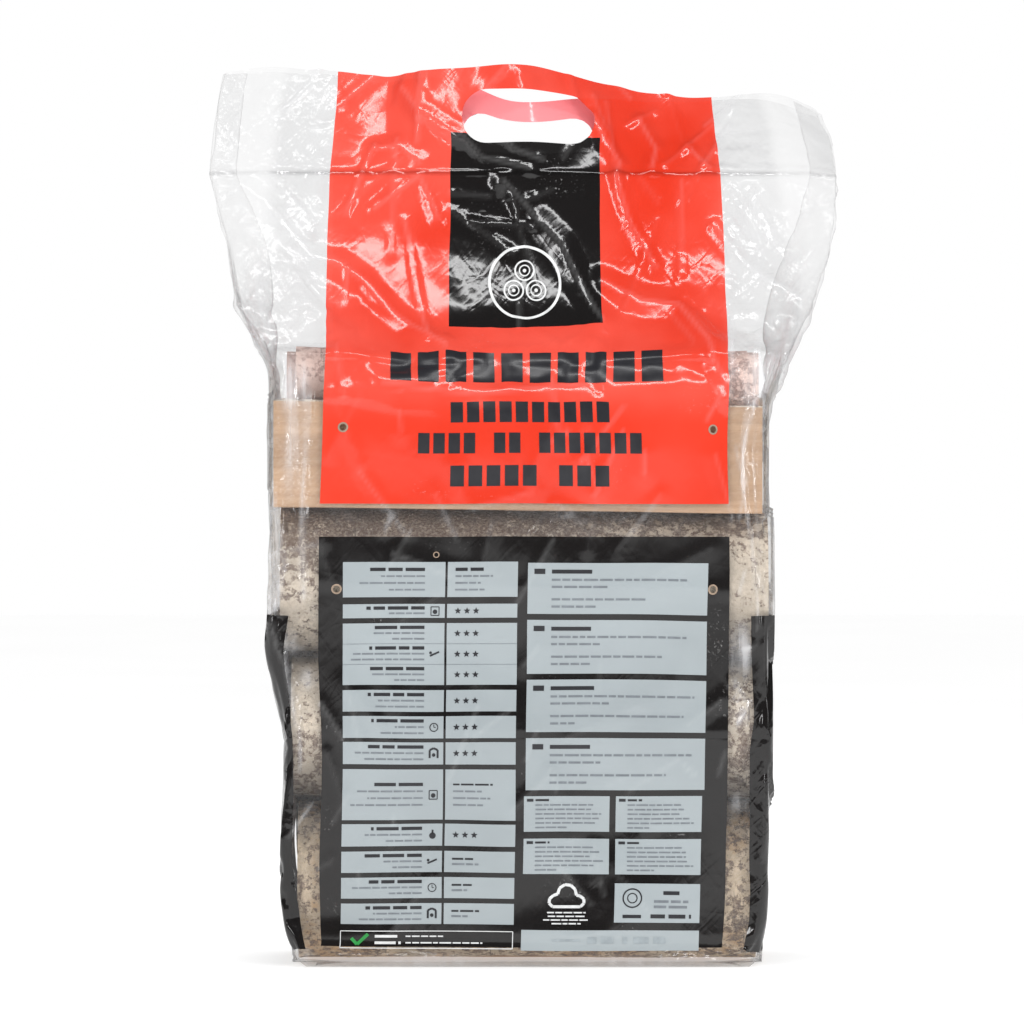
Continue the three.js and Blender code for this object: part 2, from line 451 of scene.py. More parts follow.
def new_material(name, roughness, ior=1.5):
    """A material, its nodes, its shader's sockets and the place on the object."""
    material = bpy.data.materials.new(name)
    material.use_nodes = True
    nodes = Nodes(material.node_tree)
    shader = material.node_tree.nodes["Principled BSDF"]
    shader.inputs["Roughness"].default_value = roughness
    shader.inputs["IOR"].default_value = ior
    where = nodes.add("ShaderNodeTexCoord").outputs["Object"]
    return material, nodes, shader.inputs, where


def placed(nodes, tree, vector, **values):
    """Puts a shared group into a material, with its own values, and gives its outputs."""
    node = nodes.add("ShaderNodeGroup", node_tree=tree)
    nodes.link(vector, node.inputs["Vector"])
    for label, value in values.items():
        node.inputs[label].default_value = value
    return node.outputs


def painted_field(nodes, name):
    """A value painted on the film's points under this name."""
    return nodes.add("ShaderNodeAttribute", attribute_name=name).outputs["Fac"]


def ink_material(name, colour, inside, alpha, roughness, crumple, scuffs_and_glints, wear_and_glint_amount=0.5, painted_sheen=0.0):
    """Ink on glossy film: its colour outside, a paler one on the inner side.

    Painted sheen is how far loose film pales towards pink-white in soft patches, a painted highlight.
    """
    material, nodes, shader, where = new_material(name, roughness)
    folds = placed(nodes, crumple, where)
    wear_and_glint = placed(nodes, scuffs_and_glints, where, Amount=wear_and_glint_amount)["Worn and glinting"]
    nodes.link(painted_field(nodes, "rubbed"), wear_and_glint.node.inputs["Rubbed and glinting"])
    tone = nodes.ramp(nodes.noise(where, 9.0, 3.0), 0.3, 0.7)
    outside = nodes.mix(tone, [0.93 * c for c in colour], [min(1.0, 1.05 * c) for c in colour])
    loose = painted_field(nodes, "loose")
    # Soft pink-white patches on loose film: a painted sheen standing in for the glossy film's highlight.
    sheen_share = nodes.times(nodes.times(tone, loose), painted_sheen)
    outside = nodes.mix(sheen_share, outside, (1.0, 0.80, 0.72))
    # Paler where scuffed: worn ink, and small painted glints on the crumples.
    rubbed = nodes.mix(wear_and_glint, outside, [0.75 * c + 0.22 for c in colour])
    # Paler along fold ridges: crease whitening, and a painted highlight on each ridge.
    crease = painted_field(nodes, "crease")
    lined = nodes.mix(nodes.times(crease, 0.25), rubbed, [0.8 * c + 0.22 for c in colour])
    weld = painted_field(nodes, "weld")
    lined = nodes.mix(nodes.times(weld, 0.6), lined, [0.35 * c for c in colour])
    facing = nodes.add("ShaderNodeNewGeometry").outputs["Backfacing"]
    nodes.link(nodes.mix(facing, lined, inside), shader["Base Color"])
    solid = nodes.minus(1.0, nodes.times(wear_and_glint, 0.2))
    nodes.link(nodes.times(solid, alpha), shader["Alpha"])
    nodes.link(nodes.ramp(wear_and_glint, 0.0, 1.0, roughness, 0.6), shader["Roughness"])
    nodes.link(nodes.bump(nodes.times(folds["Height"], loose), 0.34, 0.0018), shader["Normal"])
    return material


def clear_material(name, colour, crumple, scuffs_and_glints):
    """Unprinted film: see-through and faintly grey, white along fold ridges and where scuffed: crease
    whitening and wear, with painted highlights and glints.
    """
    material, nodes, shader, where = new_material(name, 0.12, 2.3)
    folds = placed(nodes, crumple, where)
    wear_and_glint = placed(nodes, scuffs_and_glints, where, Amount=0.7)["Worn and glinting"]
    nodes.link(painted_field(nodes, "rubbed"), wear_and_glint.node.inputs["Rubbed and glinting"])
    crease = painted_field(nodes, "crease")
    dented = nodes.bump(folds["Height"], 0.85, 0.0024)
    weight = nodes.add("ShaderNodeLayerWeight", in_0=0.35)
    nodes.link(dented, weight.inputs["Normal"])
    edge = nodes.ramp(weight.outputs["Facing"], 0.05, 0.75)
    upright = nodes.noise(nodes.stretched(where, (130.0, 60.0, 9.0)), 1.0, 3.0)
    streaks = nodes.ramp(upright, 0.35, 0.65, 0.35, 1.0)
    milky = nodes.times(painted_field(nodes, "milky"), streaks)
    # Whiter along fold ridges and scuffs: crease whitening and wear, plus painted highlights and glints.
    white = nodes.plus(nodes.times(crease, 0.55), nodes.times(wear_and_glint, 0.5))
    white = nodes.plus(white, milky, True)
    haze = nodes.plus(nodes.ramp(folds["Patch"], 0.0, 1.0, 0.105, 0.145), nodes.times(edge, 0.30))
    weld = painted_field(nodes, "weld")
    haze = nodes.plus(haze, nodes.times(weld, 0.30))
    haze = nodes.plus(haze, nodes.times(white, 0.45), True)
    hidden = nodes.times(painted_field(nodes, "tucked"), 0.6)
    haze = nodes.minus(haze, nodes.times(haze, hidden))
    path = nodes.add("ShaderNodeLightPath").outputs
    passing = nodes.math("MAXIMUM", path["Is Shadow Ray"], path["Is Diffuse Ray"])
    through = nodes.minus(1.0, nodes.times(passing, 0.75))
    nodes.link(nodes.times(haze, through), shader["Alpha"])
    tint = nodes.mix(nodes.times(white, 1.4, True), [0.30 * c for c in colour], colour)
    nodes.link(tint, shader["Base Color"])
    nodes.link(dented, shader["Normal"])
    return material


def plain_ink(name, colour, roughness=0.3):
    """Small marks of ink, a little uneven."""
    material, nodes, shader, where = new_material(name, roughness)
    tone = nodes.ramp(nodes.noise(where, 160.0, 3.0), 0.3, 0.7)
    uneven = nodes.mix(tone, [0.9 * c for c in colour], [min(1.0, 1.1 * c) for c in colour])
    nodes.link(uneven, shader["Base Color"])
    return material


def bark_material(name, colour, dark, lichen_and_shading_zones, group_tree, stain=None):
    """Birch bark: pore lines, specks, and lichen whose amount follows (height, amount) zones, which also
    paint shade and light by height.
    """
    material, nodes, shader, where = new_material(name, 0.8)
    bark = placed(nodes, group_tree, where)
    height = nodes.add("ShaderNodeSeparateXYZ")
    nodes.link(where, height.inputs[0])
    waves = nodes.times(nodes.minus(nodes.noise(where, 26.0, 4.0, 0.6), 0.5), 0.045)
    waves = nodes.minus(waves, nodes.times(height.outputs["X"], 0.10))
    amount = nodes.add("ShaderNodeValToRGB")
    nodes.link(nodes.times(nodes.plus(height.outputs["Z"], waves), 1 / 0.6), amount.inputs["Fac"])
    stops = amount.color_ramp.elements
    while len(stops) < len(lichen_and_shading_zones):
        stops.new(0.5)
    for stop, (up, value) in zip(stops, lichen_and_shading_zones):
        stop.position = up / 600
        stop.color = (value, value, value, 1)
    nodes.link(amount.outputs["Color"], bark["Height"].node.inputs["Lichen and shading"])
    base = nodes.mix(bark["Clouds"], [0.66 * c for c in colour], [min(1.0, 1.18 * c) for c in colour])
    middle = [0.5 * (a + b) for a, b in zip(colour, dark)]
    base = nodes.mix(nodes.times(bark["Specks"], 0.6), base, middle)
    if stain is not None:
        base = nodes.mix(nodes.ramp(nodes.noise(where, 38.0, 4.0, 0.6), 0.46, 0.62), base, stain)
    base = nodes.mix(bark["Lichen and shading"], base, dark)
    base = nodes.mix(nodes.times(bark["Pores"], 0.7), base, [0.6 * c for c in dark])
    nodes.link(base, shader["Base Color"])
    nodes.link(nodes.ramp(bark["Lichen and shading"], 0.0, 1.0, 0.62, 0.95), shader["Roughness"])
    nodes.link(nodes.bump(bark["Height"], 0.6, 0.0012), shader["Normal"])
    return material


def split_material(name, colour, fibres):
    """Split faces: long pale and tan streaks with torn fibres."""
    material, nodes, shader, where = new_material(name, 0.75)
    grain = placed(nodes, fibres, where)
    base = nodes.mix(grain["Broad"], [0.84 * c for c in colour], [min(1.0, 1.10 * c) for c in colour])
    dark = [colour[0] * 0.55, colour[1] * 0.45, colour[2] * 0.38]
    base = nodes.mix(nodes.times(grain["Fine"], 0.34), base, dark)
    grime = nodes.ramp(nodes.noise(where, 21.0, 4.0, 0.6), 0.55, 0.75, 0.0, 0.5)
    nodes.link(nodes.mix(grime, base, (0.33, 0.25, 0.18)), shader["Base Color"])
    nodes.link(nodes.ramp(grain["Fine"], 0.0, 1.0, 0.6, 0.85), shader["Roughness"])
    nodes.link(nodes.bump(grain["Height"], 0.7, 0.0010), shader["Normal"])
    return material


def end_material(name, colour):
    """Sawn ends: growth rings round the heart, rays, and saw marks."""
    material, nodes, shader, where = new_material(name, 0.8)
    radius = nodes.add("ShaderNodeAttribute", attribute_name="heart_distance").outputs["Fac"]
    uneven = nodes.times(nodes.noise(where, 60.0, 2.0), 0.0045)
    wave = nodes.math("SINE", nodes.times(nodes.plus(radius, uneven), 2300.0))
    rings = nodes.plus(nodes.times(wave, 0.5), 0.5)
    core = nodes.ramp(radius, 0.008, 0.030)
    base = nodes.mix(core, [0.72 * c for c in colour], colour)
    base = nodes.mix(nodes.times(rings, 0.5), base, [0.6 * c for c in colour])
    cuts = nodes.noise(nodes.stretched(where, (200.0, 60.0, 900.0)), 1.0, 2.0)
    sawn = nodes.mix(nodes.ramp(cuts, 0.5, 0.7, 0.0, 0.35), base, (0.80, 0.66, 0.46))
    nodes.link(sawn, shader["Base Color"])
    nodes.link(nodes.bump(nodes.plus(cuts, nodes.times(rings, 0.3)), 0.5, 0.0006), shader["Normal"])
    return material


made_materials = {}


def materials():
    """All finishes of the bag and the wood, made once."""
    if made_materials:
        return made_materials
    film, wood = bpy.context.scene.birch_film, bpy.context.scene.birch_wood
    crumple, scuffs_and_glints, fibres, bark = crumple_group(), scuff_and_glint_group(), fibre_group(), bark_group()
    white = tuple(wood.white_bark)
    grey = (0.150, 0.105, 0.082)
    made_materials.update(
        clear=clear_material("clear_film", film.clear, crumple, scuffs_and_glints),
        # The orange ink's last value is the strength of its painted sheen.
        orange=ink_material(
            "orange_ink", tuple(film.orange), (0.90, 0.26, 0.28), 0.985, 0.15, crumple, scuffs_and_glints, 0.5, 0.07),
        black=ink_material(
            "black_ink", tuple(film.black), (0.06, 0.05, 0.05), 0.995, 0.12, crumple, scuffs_and_glints, 0.9),
        pale=ink_material(
            "pale_ink", tuple(film.pale), (0.30, 0.31, 0.32), 0.97, 0.20, crumple, scuffs_and_glints, 0.3),
        dark=plain_ink("dark_marks", (0.018, 0.018, 0.022)),
        grey=plain_ink("grey_marks", (0.17, 0.19, 0.21)),
        white=plain_ink("white_marks", (0.66, 0.67, 0.67)),
        green=plain_ink("green_mark", (0.02, 0.26, 0.05)),
        faint=plain_ink("faint_marks", (0.30, 0.34, 0.36)),
        rim=plain_ink("vent_rims", (0.30, 0.22, 0.16), 0.4),
        # Lichen amounts by height also paint shade and light: more at the banded log's low edge, where its
        # bark turns down, is painted shade; less at the mottled log's upper edge lightens the valley above it
        # as painted light.
        banded=bark_material("banded_bark", white, grey, (
            (197, 0.54), (206, 0.46), (216, 0.36), (240, 0.36), (256, 0.43), (270, 0.62), (286, 0.80)), bark),
        mottled=bark_material("mottled_bark", [0.92 * c for c in white], grey, (
            (100, 0.55), (125, 0.60), (140, 0.56), (160, 0.53), (178, 0.42), (188, 0.30), (197, 0.34)), bark),
        papery=bark_material("papery_bark", white, grey, ((0, 0.42), (600, 0.48)), bark),
        ochre=bark_material("ochre_bark", (0.70, 0.56, 0.40), (0.17, 0.120, 0.092), (
            (10, 0.54), (40, 0.51), (85, 0.50), (98, 0.54), (110, 0.55)), bark, stain=(0.50, 0.32, 0.17)),
        brown=bark_material(
            "brown_bark", tuple(wood.brown_bark), (0.36, 0.25, 0.22), ((0, 0.5), (600, 0.5)), bark),
        split=split_material("split_wood", tuple(wood.split_wood), fibres),
        end=end_material("sawn_end", tuple(wood.sawn_end)),
    )
    return made_materials


# --- Logs -------------------------------------------------------------------------------

# Piece, CAD node, bark finish and record slot. Front logs are the finest.
SPLIT_LOGS = (
    ("split_log_front_bottom", "log_front_bottom", "ochre", "bark_brown"),
    ("split_log_front_middle", "log_front_middle", "banded", "bark_white"),
    ("split_log_front_high", "log_front_high", "papery", "split_wood"),
    ("split_log_rear_bottom", "log_rear_bottom", "mottled", "split_wood"),
    ("split_log_rear_low", "log_rear_low", "papery", "split_wood"),
    ("split_log_rear_middle", "log_rear_middle", "ochre", "split_wood"),
    ("split_log_rear_high", "log_rear_high", "mottled", "split_wood"),
    ("split_log_rear_top", "log_rear_top", "papery", "split_wood"),
)
ROUND_LOGS = (
    ("round_log_front_low", "log_front_low", "mottled", "bark_white"),
    ("round_log_rear", "log_rear_round", "papery", "bark_white"),
)
STICKS = (
    ("stick_front", "stick_front_top", "brown", "bark_brown"),
    ("stick_rear", "stick_rear_top", "brown", "bark_brown"),
)


# Logs lifted off their node, in mm, at their middle and more towards +X, so that they touch.
SETTLED = {
    "log_front_low": (0.8, -0.8), "log_front_middle": (0.6, -2.2), "log_front_high": (-2.0, -2.2),
    "stick_front_top": (-2.0, -2.0), "log_rear_high": (-0.4, -1.4), "log_rear_top": (-2.2, 0.0),
    "stick_rear_top": (-2.2, 0.0),
}


def lift_of(node, x):
    """How far a log lies above its node at x."""
    level, more = SETTLED.get(node, (0.0, 0.0))
    return (level + more * x / LOG_HALF) * MM


def section_corners(node):
    """The corners (y, z) of a log's end in order round their middle, and that middle."""
    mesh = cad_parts[node].data
    co = np.empty(len(mesh.vertices) * 3)
    mesh.vertices.foreach_get("co", co)
    co = co.reshape(-1, 3)
    corners = np.unique(np.round(co[co[:, 0] < co[:, 0].min() + 1e-5, 1:], 5), axis=0)
    middle = corners.mean(0)
    order = np.argsort(np.arctan2(corners[:, 1] - middle[1], corners[:, 0] - middle[0]))
    return corners[order], middle


def section_outline(node, count):
    """The log's section from its CAD node: points (y, z), 1 on split faces, and the heart.

    The end's corners are put in order round their middle and the outline is divided into
    equal lengths. A side much longer than the others is a split face, and the heart is
    where two of those meet, or the middle of a round stick.
    """
    corners, middle = section_corners(node)
    following = np.roll(corners, -1, 0)
    sides = np.linalg.norm(following - corners, axis=1)
    split = sides > 2.2 * np.median(sides)
    heart = middle
    meeting = split & np.roll(split, 1)
    if meeting.any():
        heart = corners[meeting][0]
    start = np.concatenate([[0], np.cumsum(sides)])
    at = (np.arange(count) + 0.5) / count * start[-1]
    side = np.searchsorted(start, at, side="right") - 1
    share = ((at - start[side]) / sides[side])[:, None]
    points = corners[side] * (1 - share) + following[side] * share
    return points, split[side].astype(float), heart, start[-1]


def round_smooth(values, passes):
    """Values round a closed outline, each pass a quarter, a half, a quarter of neighbours."""
    for _ in range(passes):
        values = 0.25 * np.roll(values, 1, 0) + 0.5 * values + 0.25 * np.roll(values, -1, 0)
    return values


def log_surface(node, around, along, seed):
    """The log's side as a grid of points (along, around, 3), and what its ends need.

    A point is the outline point at s, moved in along the outline's normal by a margin and
    out again by the relief at (s, x): ridged fibres along x on split faces, soft swellings
    and pore ridges on bark. The outline drifts a little along x, as a grown stem does.
    """
    outline, split, heart, length = section_outline(node, around)
    spacing = length / around
    outline = round_smooth(outline, max(2, int((0.0022 / spacing) ** 2 * 2)))
    tangent = np.roll(outline, -1, 0) - np.roll(outline, 1, 0)
    normal = np.stack([tangent[:, 1], -tangent[:, 0]], 1)
    normal /= np.linalg.norm(normal, axis=1)[:, None]
    low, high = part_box(node)
    rows = np.linspace(0, 1, along)
    x = low.x + (high.x - low.x) * rows
    s_grid, x_grid = np.meshgrid(np.arange(around) * spacing, x)
    bark = round_smooth(1 - split, 3)[None, :]
    fibres = layered_noise(s_grid * 420, x_grid * 14, seed, 4)
    torn = np.abs(layered_noise(s_grid * 110, x_grid * 9, seed + 9, 2)) ** 0.5
    swell = layered_noise(s_grid * 26, x_grid * 16, seed + 20, 3)
    pores = np.maximum(0, lattice_noise(s_grid * 90, x_grid * 420, seed + 31) - 0.45)
    plates = np.round(2.5 * layered_noise(s_grid * 55, x_grid * 48, seed + 40, 3)) / 2.5
    wood_relief = 0.00045 * fibres + 0.0011 * torn - 0.0006
    bark_relief = 0.0008 * swell + 0.0007 * pores + 0.00045 * plates
    relief = wood_relief * (1 - bark) + bark_relief * bark
    margin = 0.0008
    inset = np.clip(relief - margin, -0.004, 0.0)
    drift = 0.0006 * lattice_noise(x * 9, 0 * x + 3.5, seed + 50)[:, None]
    y = outline[None, :, 0] + normal[None, :, 0] * inset + drift
    z = outline[None, :, 1] + normal[None, :, 1] * inset - np.abs(drift) + lift_of(node, x_grid)
    grid = np.stack([x_grid, y, z], -1)
    return grid, split, heart, (low, high)


def build_log(piece, node, finish, slot, around, along, seed):
    """A log: its side grid, a small bevel at each sawn end, and ringed end faces.

    An end face is the rim drawn in towards its middle in equal shares, its x tilted and
    roughened by the saw. The distance to the heart goes into heart_distance.
    """
    grid, split, heart, (low, high) = log_surface(node, around, along, seed)
    chance = np.random.default_rng(seed)
    rings = 12
    rows = [grid]
    centres = []
    for end, direction in ((0, 1), (-1, -1)):
        rim = grid[end]
        middle = rim.mean(0)
        tilt = chance.uniform(-0.014, 0.014, 2)
        parts = []
        for k in range(1, rings):
            share = 0.985 if k == 1 else 0.945 - 0.945 * (k - 2) / (rings - 2)
            ring = middle + (rim - middle) * share
            flat = ring[:, 1:] - middle[1:]
            rough = 0.00025 * lattice_noise(ring[:, 1] * 900, ring[:, 2] * 900, seed + 5)
            ring[:, 0] = rim[:, 0] - direction * 0.0006 + direction * (
                np.abs(flat @ tilt) + rough + 0.0004
            )
            parts.append(ring)
        rows.append(np.array(parts))
        centres.append(np.array([*parts[-1].mean(0)]))
    points = np.concatenate([r.reshape(-1, 3) for r in rows] + [np.array(centres)])
    points[:, 0] = np.clip(points[:, 0], low.x, high.x)
    n_side = along * around

    def strip(first, second, turn):
        a, b = np.asarray(first), np.asarray(second)
        quads = np.stack([a, np.roll(a, -1), np.roll(b, -1), b], 1)
        return quads[:, ::-1] if turn else quads

    index = np.arange(n_side).reshape(along, around)
    faces = [strip(index[k], index[k + 1], False) for k in range(along - 1)]
    slots = [np.where(split > 0.5, 1, 0)] * (along - 1)
    triangles = []
    for which, end in enumerate((0, along - 1)):
        base = n_side + which * (rings - 1) * around
        ring_index = base + np.arange((rings - 1) * around).reshape(rings - 1, around)
        chain = [index[end], *ring_index]
        for first, second in zip(chain[:-1], chain[1:]):
            faces.append(strip(first, second, which == 0))
            barked = (first is chain[0]) | (first is chain[1])
            slots.append(np.where(barked & (split < 0.5), 0, 2))
        tip = len(points) - 2 + which
        last = chain[-1]
        fan = np.stack([last, np.roll(last, -1), np.full(around, tip)], 1)
        triangles.append(fan[:, ::-1] if which == 0 else fan)
    quads = np.concatenate(faces)
    made = mesh_object(piece, points, quads.tolist() + np.concatenate(triangles).tolist())
    mesh = made.data
    slot_of = np.concatenate([*slots, np.full(2 * around, 2)]).astype(np.int32)
    for key in (finish, "split", "end"):
        mesh.materials.append(materials()[key])
    mesh.polygons.foreach_set("material_index", slot_of)
    distance = mesh.attributes.new("heart_distance", "FLOAT", "POINT")
    away = np.linalg.norm(points[:, 1:] - heart, axis=1)
    distance.data.foreach_set("value", away.astype(np.float32))
    mesh.set_sharp_from_angle(angle=math.radians(40))
    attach(made, "root")
    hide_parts(node)
    return made


def face_count(node):
    """Finer cells for the logs at the front: (around, along)."""
    return (210, 190) if "front" in node else (150, 130)


class BIRCH_OT_split_logs(bpy.types.Operator):
    """Split birch logs with bark, split faces and sawn ends"""

    bl_idname = "birch.split_logs"
    bl_label = "Split logs"

    def execute(self, context):
        for number, (piece, node, finish, slot) in enumerate(SPLIT_LOGS):
            build_log(piece, node, finish, slot, *face_count(node), seed=100 + 61 * number)
        return {"FINISHED"}


class BIRCH_OT_round_logs(bpy.types.Operator):
    """Unsplit birch logs with bark all round"""

    bl_idname = "birch.round_logs"
    bl_label = "Round logs"

    def execute(self, context):
        for number, (piece, node, finish, slot) in enumerate(ROUND_LOGS):
            build_log(piece, node, finish, slot, *face_count(node), seed=900 + 61 * number)
        return {"FINISHED"}


class BIRCH_OT_sticks(bpy.types.Operator):
    """Thin birch sticks on top of the stack"""

    bl_idname = "birch.sticks"
    bl_label = "Sticks"

    def execute(self, context):
        for number, (piece, node, finish, slot) in enumerate(STICKS):
            build_log(piece, node, finish, slot, 110, 170, seed=1500 + 61 * number)
        return {"FINISHED"}


# --- Film -------------------------------------------------------------------------------


def film_base(u, h, film):
    """The bag before it settles, as points for round position u and height h.

    A level section is a box: a front and a back sheet as wide as the reach to each side,
    and two gussets that fold in by what the sheets leave of the tube's length. The header
    leans back from the weld by an angle that varies along x.
    """
    total, quarter = film.round_length, film.round_length / 4
    side = np.where(u < 0, -1.0, 1.0)
    back = np.abs(u) > quarter
    away = np.where(back, total / 2 - np.abs(u), np.abs(u))
    reach = np.where(u < 0, profile(h, LEFT_REACH), profile(h, RIGHT_REACH))
    depth, fold = profile(h, HALF_DEPTH), profile(h, FOLD_LINE)
    spread = np.array(PRINT_SPREAD).T
    stretch = np.interp(h, spread[0] * MM, spread[1])
    centre = profile(h, PRINT_CENTRE) * side
    printed = PRINT_HALF * MM
    edge = centre + stretch * printed
    outer = edge + (reach - edge) * (away - printed) / np.maximum(fold - printed, 1e-4)
    x = np.where(away < printed, centre + stretch * away, outer)
    tuck = np.sqrt(np.maximum((quarter - fold) ** 2 - depth**2, 0))
    inward = np.clip((away - fold) / (quarter - fold), 0, 1)
    x = np.where(away > fold, reach - tuck * inward, x) * side
    y = np.where(away > fold, depth * (1 - inward), depth) * np.where(back, 1, -1)
    lean_at = np.array(HEADER_LEAN).T
    lean = np.radians(np.interp(x, lean_at[0] * MM, lean_at[1]))
    above = np.maximum(h - film.weld, 0)
    sag = 0.020 * back * np.exp(-(((x - 0.003) / 0.05) ** 2)) * ease((h - film.weld) / 0.05)
    z = np.where(h > film.weld, film.weld + above * np.cos(lean), np.maximum(h, 0.0006)) - sag
    y = y + above * np.sin(lean) + 0.3 * sag
    return np.stack([x, y, z], -1)


def shoulder_slope(film):
    """Length of film from the shoulder up to the weld: the long side of a right triangle."""
    return math.hypot(film.weld - film.shoulder, profile(film.shoulder, HALF_DEPTH))


def flat_height(h, film):
    """Distance up the flat film for a height: the shoulder slopes in, so it takes more."""
    at_weld = film.shoulder + shoulder_slope(film)
    heights = (-film.under, 0, film.shoulder, film.weld, BAG_TOP)
    lengths = (-film.under, 0, film.shoulder, at_weld, at_weld + BAG_TOP - film.weld)
    return np.interp(h, heights, lengths)


def grid_smooth(points, passes):
    """Rows and columns of a tube's grid averaged with their neighbours, ends kept."""
    for _ in range(passes):
        points = round_smooth(np.moveaxis(points, 1, 0), 1)
        points = np.moveaxis(points, 0, 1)
        inner = 0.25 * points[:-2] + 0.5 * points[1:-1] + 0.25 * points[2:]
        points = np.concatenate([points[:1], inner, points[-1:]])
    return points


def coarse_film(film):
    """The settling grid: heights, round positions and start points with seeds for folds."""
    step = film.coarse_step
    heights = np.concatenate([
        np.linspace(-film.under, 0, UNDER_ROWS, endpoint=False),
        np.linspace(0, film.shoulder, int(film.shoulder / step), endpoint=False),
        np.linspace(film.shoulder, film.weld, int(shoulder_slope(film) / step), endpoint=False),
        np.linspace(film.weld, BAG_TOP, int((BAG_TOP - film.weld) / step) + 1),
    ])
    count = round(film.round_length / step)
    rounds = film.round_length * (np.arange(count) / count - 0.5)
    u, h = np.meshgrid(rounds, heights)
    points = film_base(u, h, film)
    free = ease((h - 0.004) / 0.01)[..., None]
    points = points + (grid_smooth(points, 3) - points) * free
    chance = np.random.default_rng(3)
    noise = chance.normal(0, 1, points.shape)
    broad, fine = grid_smooth(noise, 30), grid_smooth(noise[::-1], 8)
    waves = 0.7 * broad / broad.std() + 0.3 * fine / fine.std()
    loose = ease((h - 0.004) / 0.03) * np.clip(np.abs(h - film.weld) / 0.02, 0.05, 1)
    points = points + 0.0015 * loose[..., None] * waves * np.array([0.4, 1.0, 0.4])
    body = (h < 0.40) & (h > 0.004)
    front, rear = np.abs(u) < 0.16, np.abs(u) > film.round_length / 2 - 0.16
    skin = profile(film.shoulder, HALF_DEPTH)
    points[..., 1] = np.where(body & front, np.minimum(points[..., 1], -skin), points[..., 1])
    points[..., 1] = np.where(body & rear, np.maximum(points[..., 1], skin), points[..., 1])
    return heights, rounds, u, h, points


def tube_faces(rows, columns):
    """Quads of a grid whose columns close into a tube."""
    index = np.arange(rows * columns).reshape(rows, columns)
    nxt = np.roll(index, -1, 1)
    return np.stack([index[:-1], nxt[:-1], nxt[1:], index[1:]], -1).reshape(-1, 4)


def log_colliders():
    """One mesh of all CAD logs, for the film to lie on while it settles."""
    points, faces, start = [], [], 0
    for name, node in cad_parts.items():
        if name == "film_bag":
            continue
        co = np.empty(len(node.data.vertices) * 3)
        node.data.vertices.foreach_get("co", co)
        points.append(co.reshape(-1, 3))
        faces += [[start + v for v in p.vertices] for p in node.data.polygons]
        start += len(node.data.vertices)
    made = mesh_object("log_colliders", np.concatenate(points), faces, False)
    made.modifiers.new("Collision", "COLLISION")
    made.collision.thickness_outer = 0.001
    made.collision.cloth_friction = 5
    return made


def settle_film(film, u, h, points):
    """Lets the film settle on the logs as cloth whose rest shape is the flat tube."""
    rows, columns = u.shape
    faces = tube_faces(rows, columns)
    cloth = mesh_object("film_settling", points, faces.tolist())
    cloth.shape_key_add(name="Basis")
    rest = cloth.shape_key_add(name="flat")
    angle = 2 * np.pi * u / film.round_length
    radius = film.round_length / (2 * np.pi)
    flat = np.stack([radius * np.sin(angle), -radius * np.cos(angle), flat_height(h, film)], -1)
    rest.data.foreach_set("co", ((1 + film.slack) * flat).astype(np.float32).ravel())
    hold = np.where(h < 0.002, 1.0, 0.0)
    hold = np.where(np.abs(h - film.weld) < 0.004, 0.9, hold)
    hold = np.where(h > film.weld + 0.004, 0.12, hold)
    hold[-1] = 0.5
    pins = cloth.vertex_groups.new(name="hold")
    for value in np.unique(hold):
        if value > 0:
            pins.add(np.flatnonzero(hold.ravel() == value).tolist(), float(value), "REPLACE")
    logs = log_colliders()
    modifier = cloth.modifiers.new("Cloth", "CLOTH")
    motion = modifier.settings
    motion.quality = 5
    motion.mass = 0.02
    motion.tension_stiffness = motion.compression_stiffness = 15
    motion.shear_stiffness = 5
    motion.bending_stiffness = 0.006
    motion.tension_damping = motion.compression_damping = motion.shear_damping = 5
    motion.bending_damping = 0.5
    motion.vertex_group_mass = "hold"
    motion.rest_shape_key = rest
    motion.use_pressure = True
    motion.uniform_pressure_force = -0.25
    motion.effector_weights.gravity = 0.3
    contact = modifier.collision_settings
    contact.use_collision = True
    contact.distance_min = 0.0012
    contact.collision_quality = 3
    contact.use_self_collision = False
    scene = bpy.context.scene
    for number in range(1, film.steps + 1):
        scene.frame_set(number)
    shown = cloth.evaluated_get(bpy.context.evaluated_depsgraph_get())
    settled = shown.to_mesh()
    co = np.empty(rows * columns * 3, np.float32)
    settled.vertices.foreach_get("co", co)
    shown.to_mesh_clear()
    scene.frame_set(1)
    for used in (cloth, logs):
        data = used.data
        bpy.data.objects.remove(used)
        bpy.data.meshes.remove(data)
    return co.reshape(rows, columns, 3).astype(float)


def fit_reach(grid):
    """Draws the outer film in or out, row by row, to the bag's reach at that height.

    Past 125 mm from the middle, x is scaled so that the row's farthest point reaches it.
    """
    keep = 0.125
    for side, table in ((-1, LEFT_REACH), (1, RIGHT_REACH)):
        away = side * grid[..., 0]
        farthest = away.max(1)
        height = np.take_along_axis(grid[..., 2], away.argmax(1)[:, None], 1)[:, 0]
        share = (profile(height, table) - keep) / np.maximum(farthest - keep, 0.005)
        share = np.where(np.arange(len(share)) <= UNDER_ROWS, 1.0, np.clip(share, 0.6, 1.6))
        share = np.convolve(np.pad(share, 1, mode="edge"), (0.25, 0.5, 0.25), "valid")
        moved = side * (keep + (away - keep) * share[:, None])
        grid[..., 0] = np.where(away > keep, moved, grid[..., 0])
    return grid


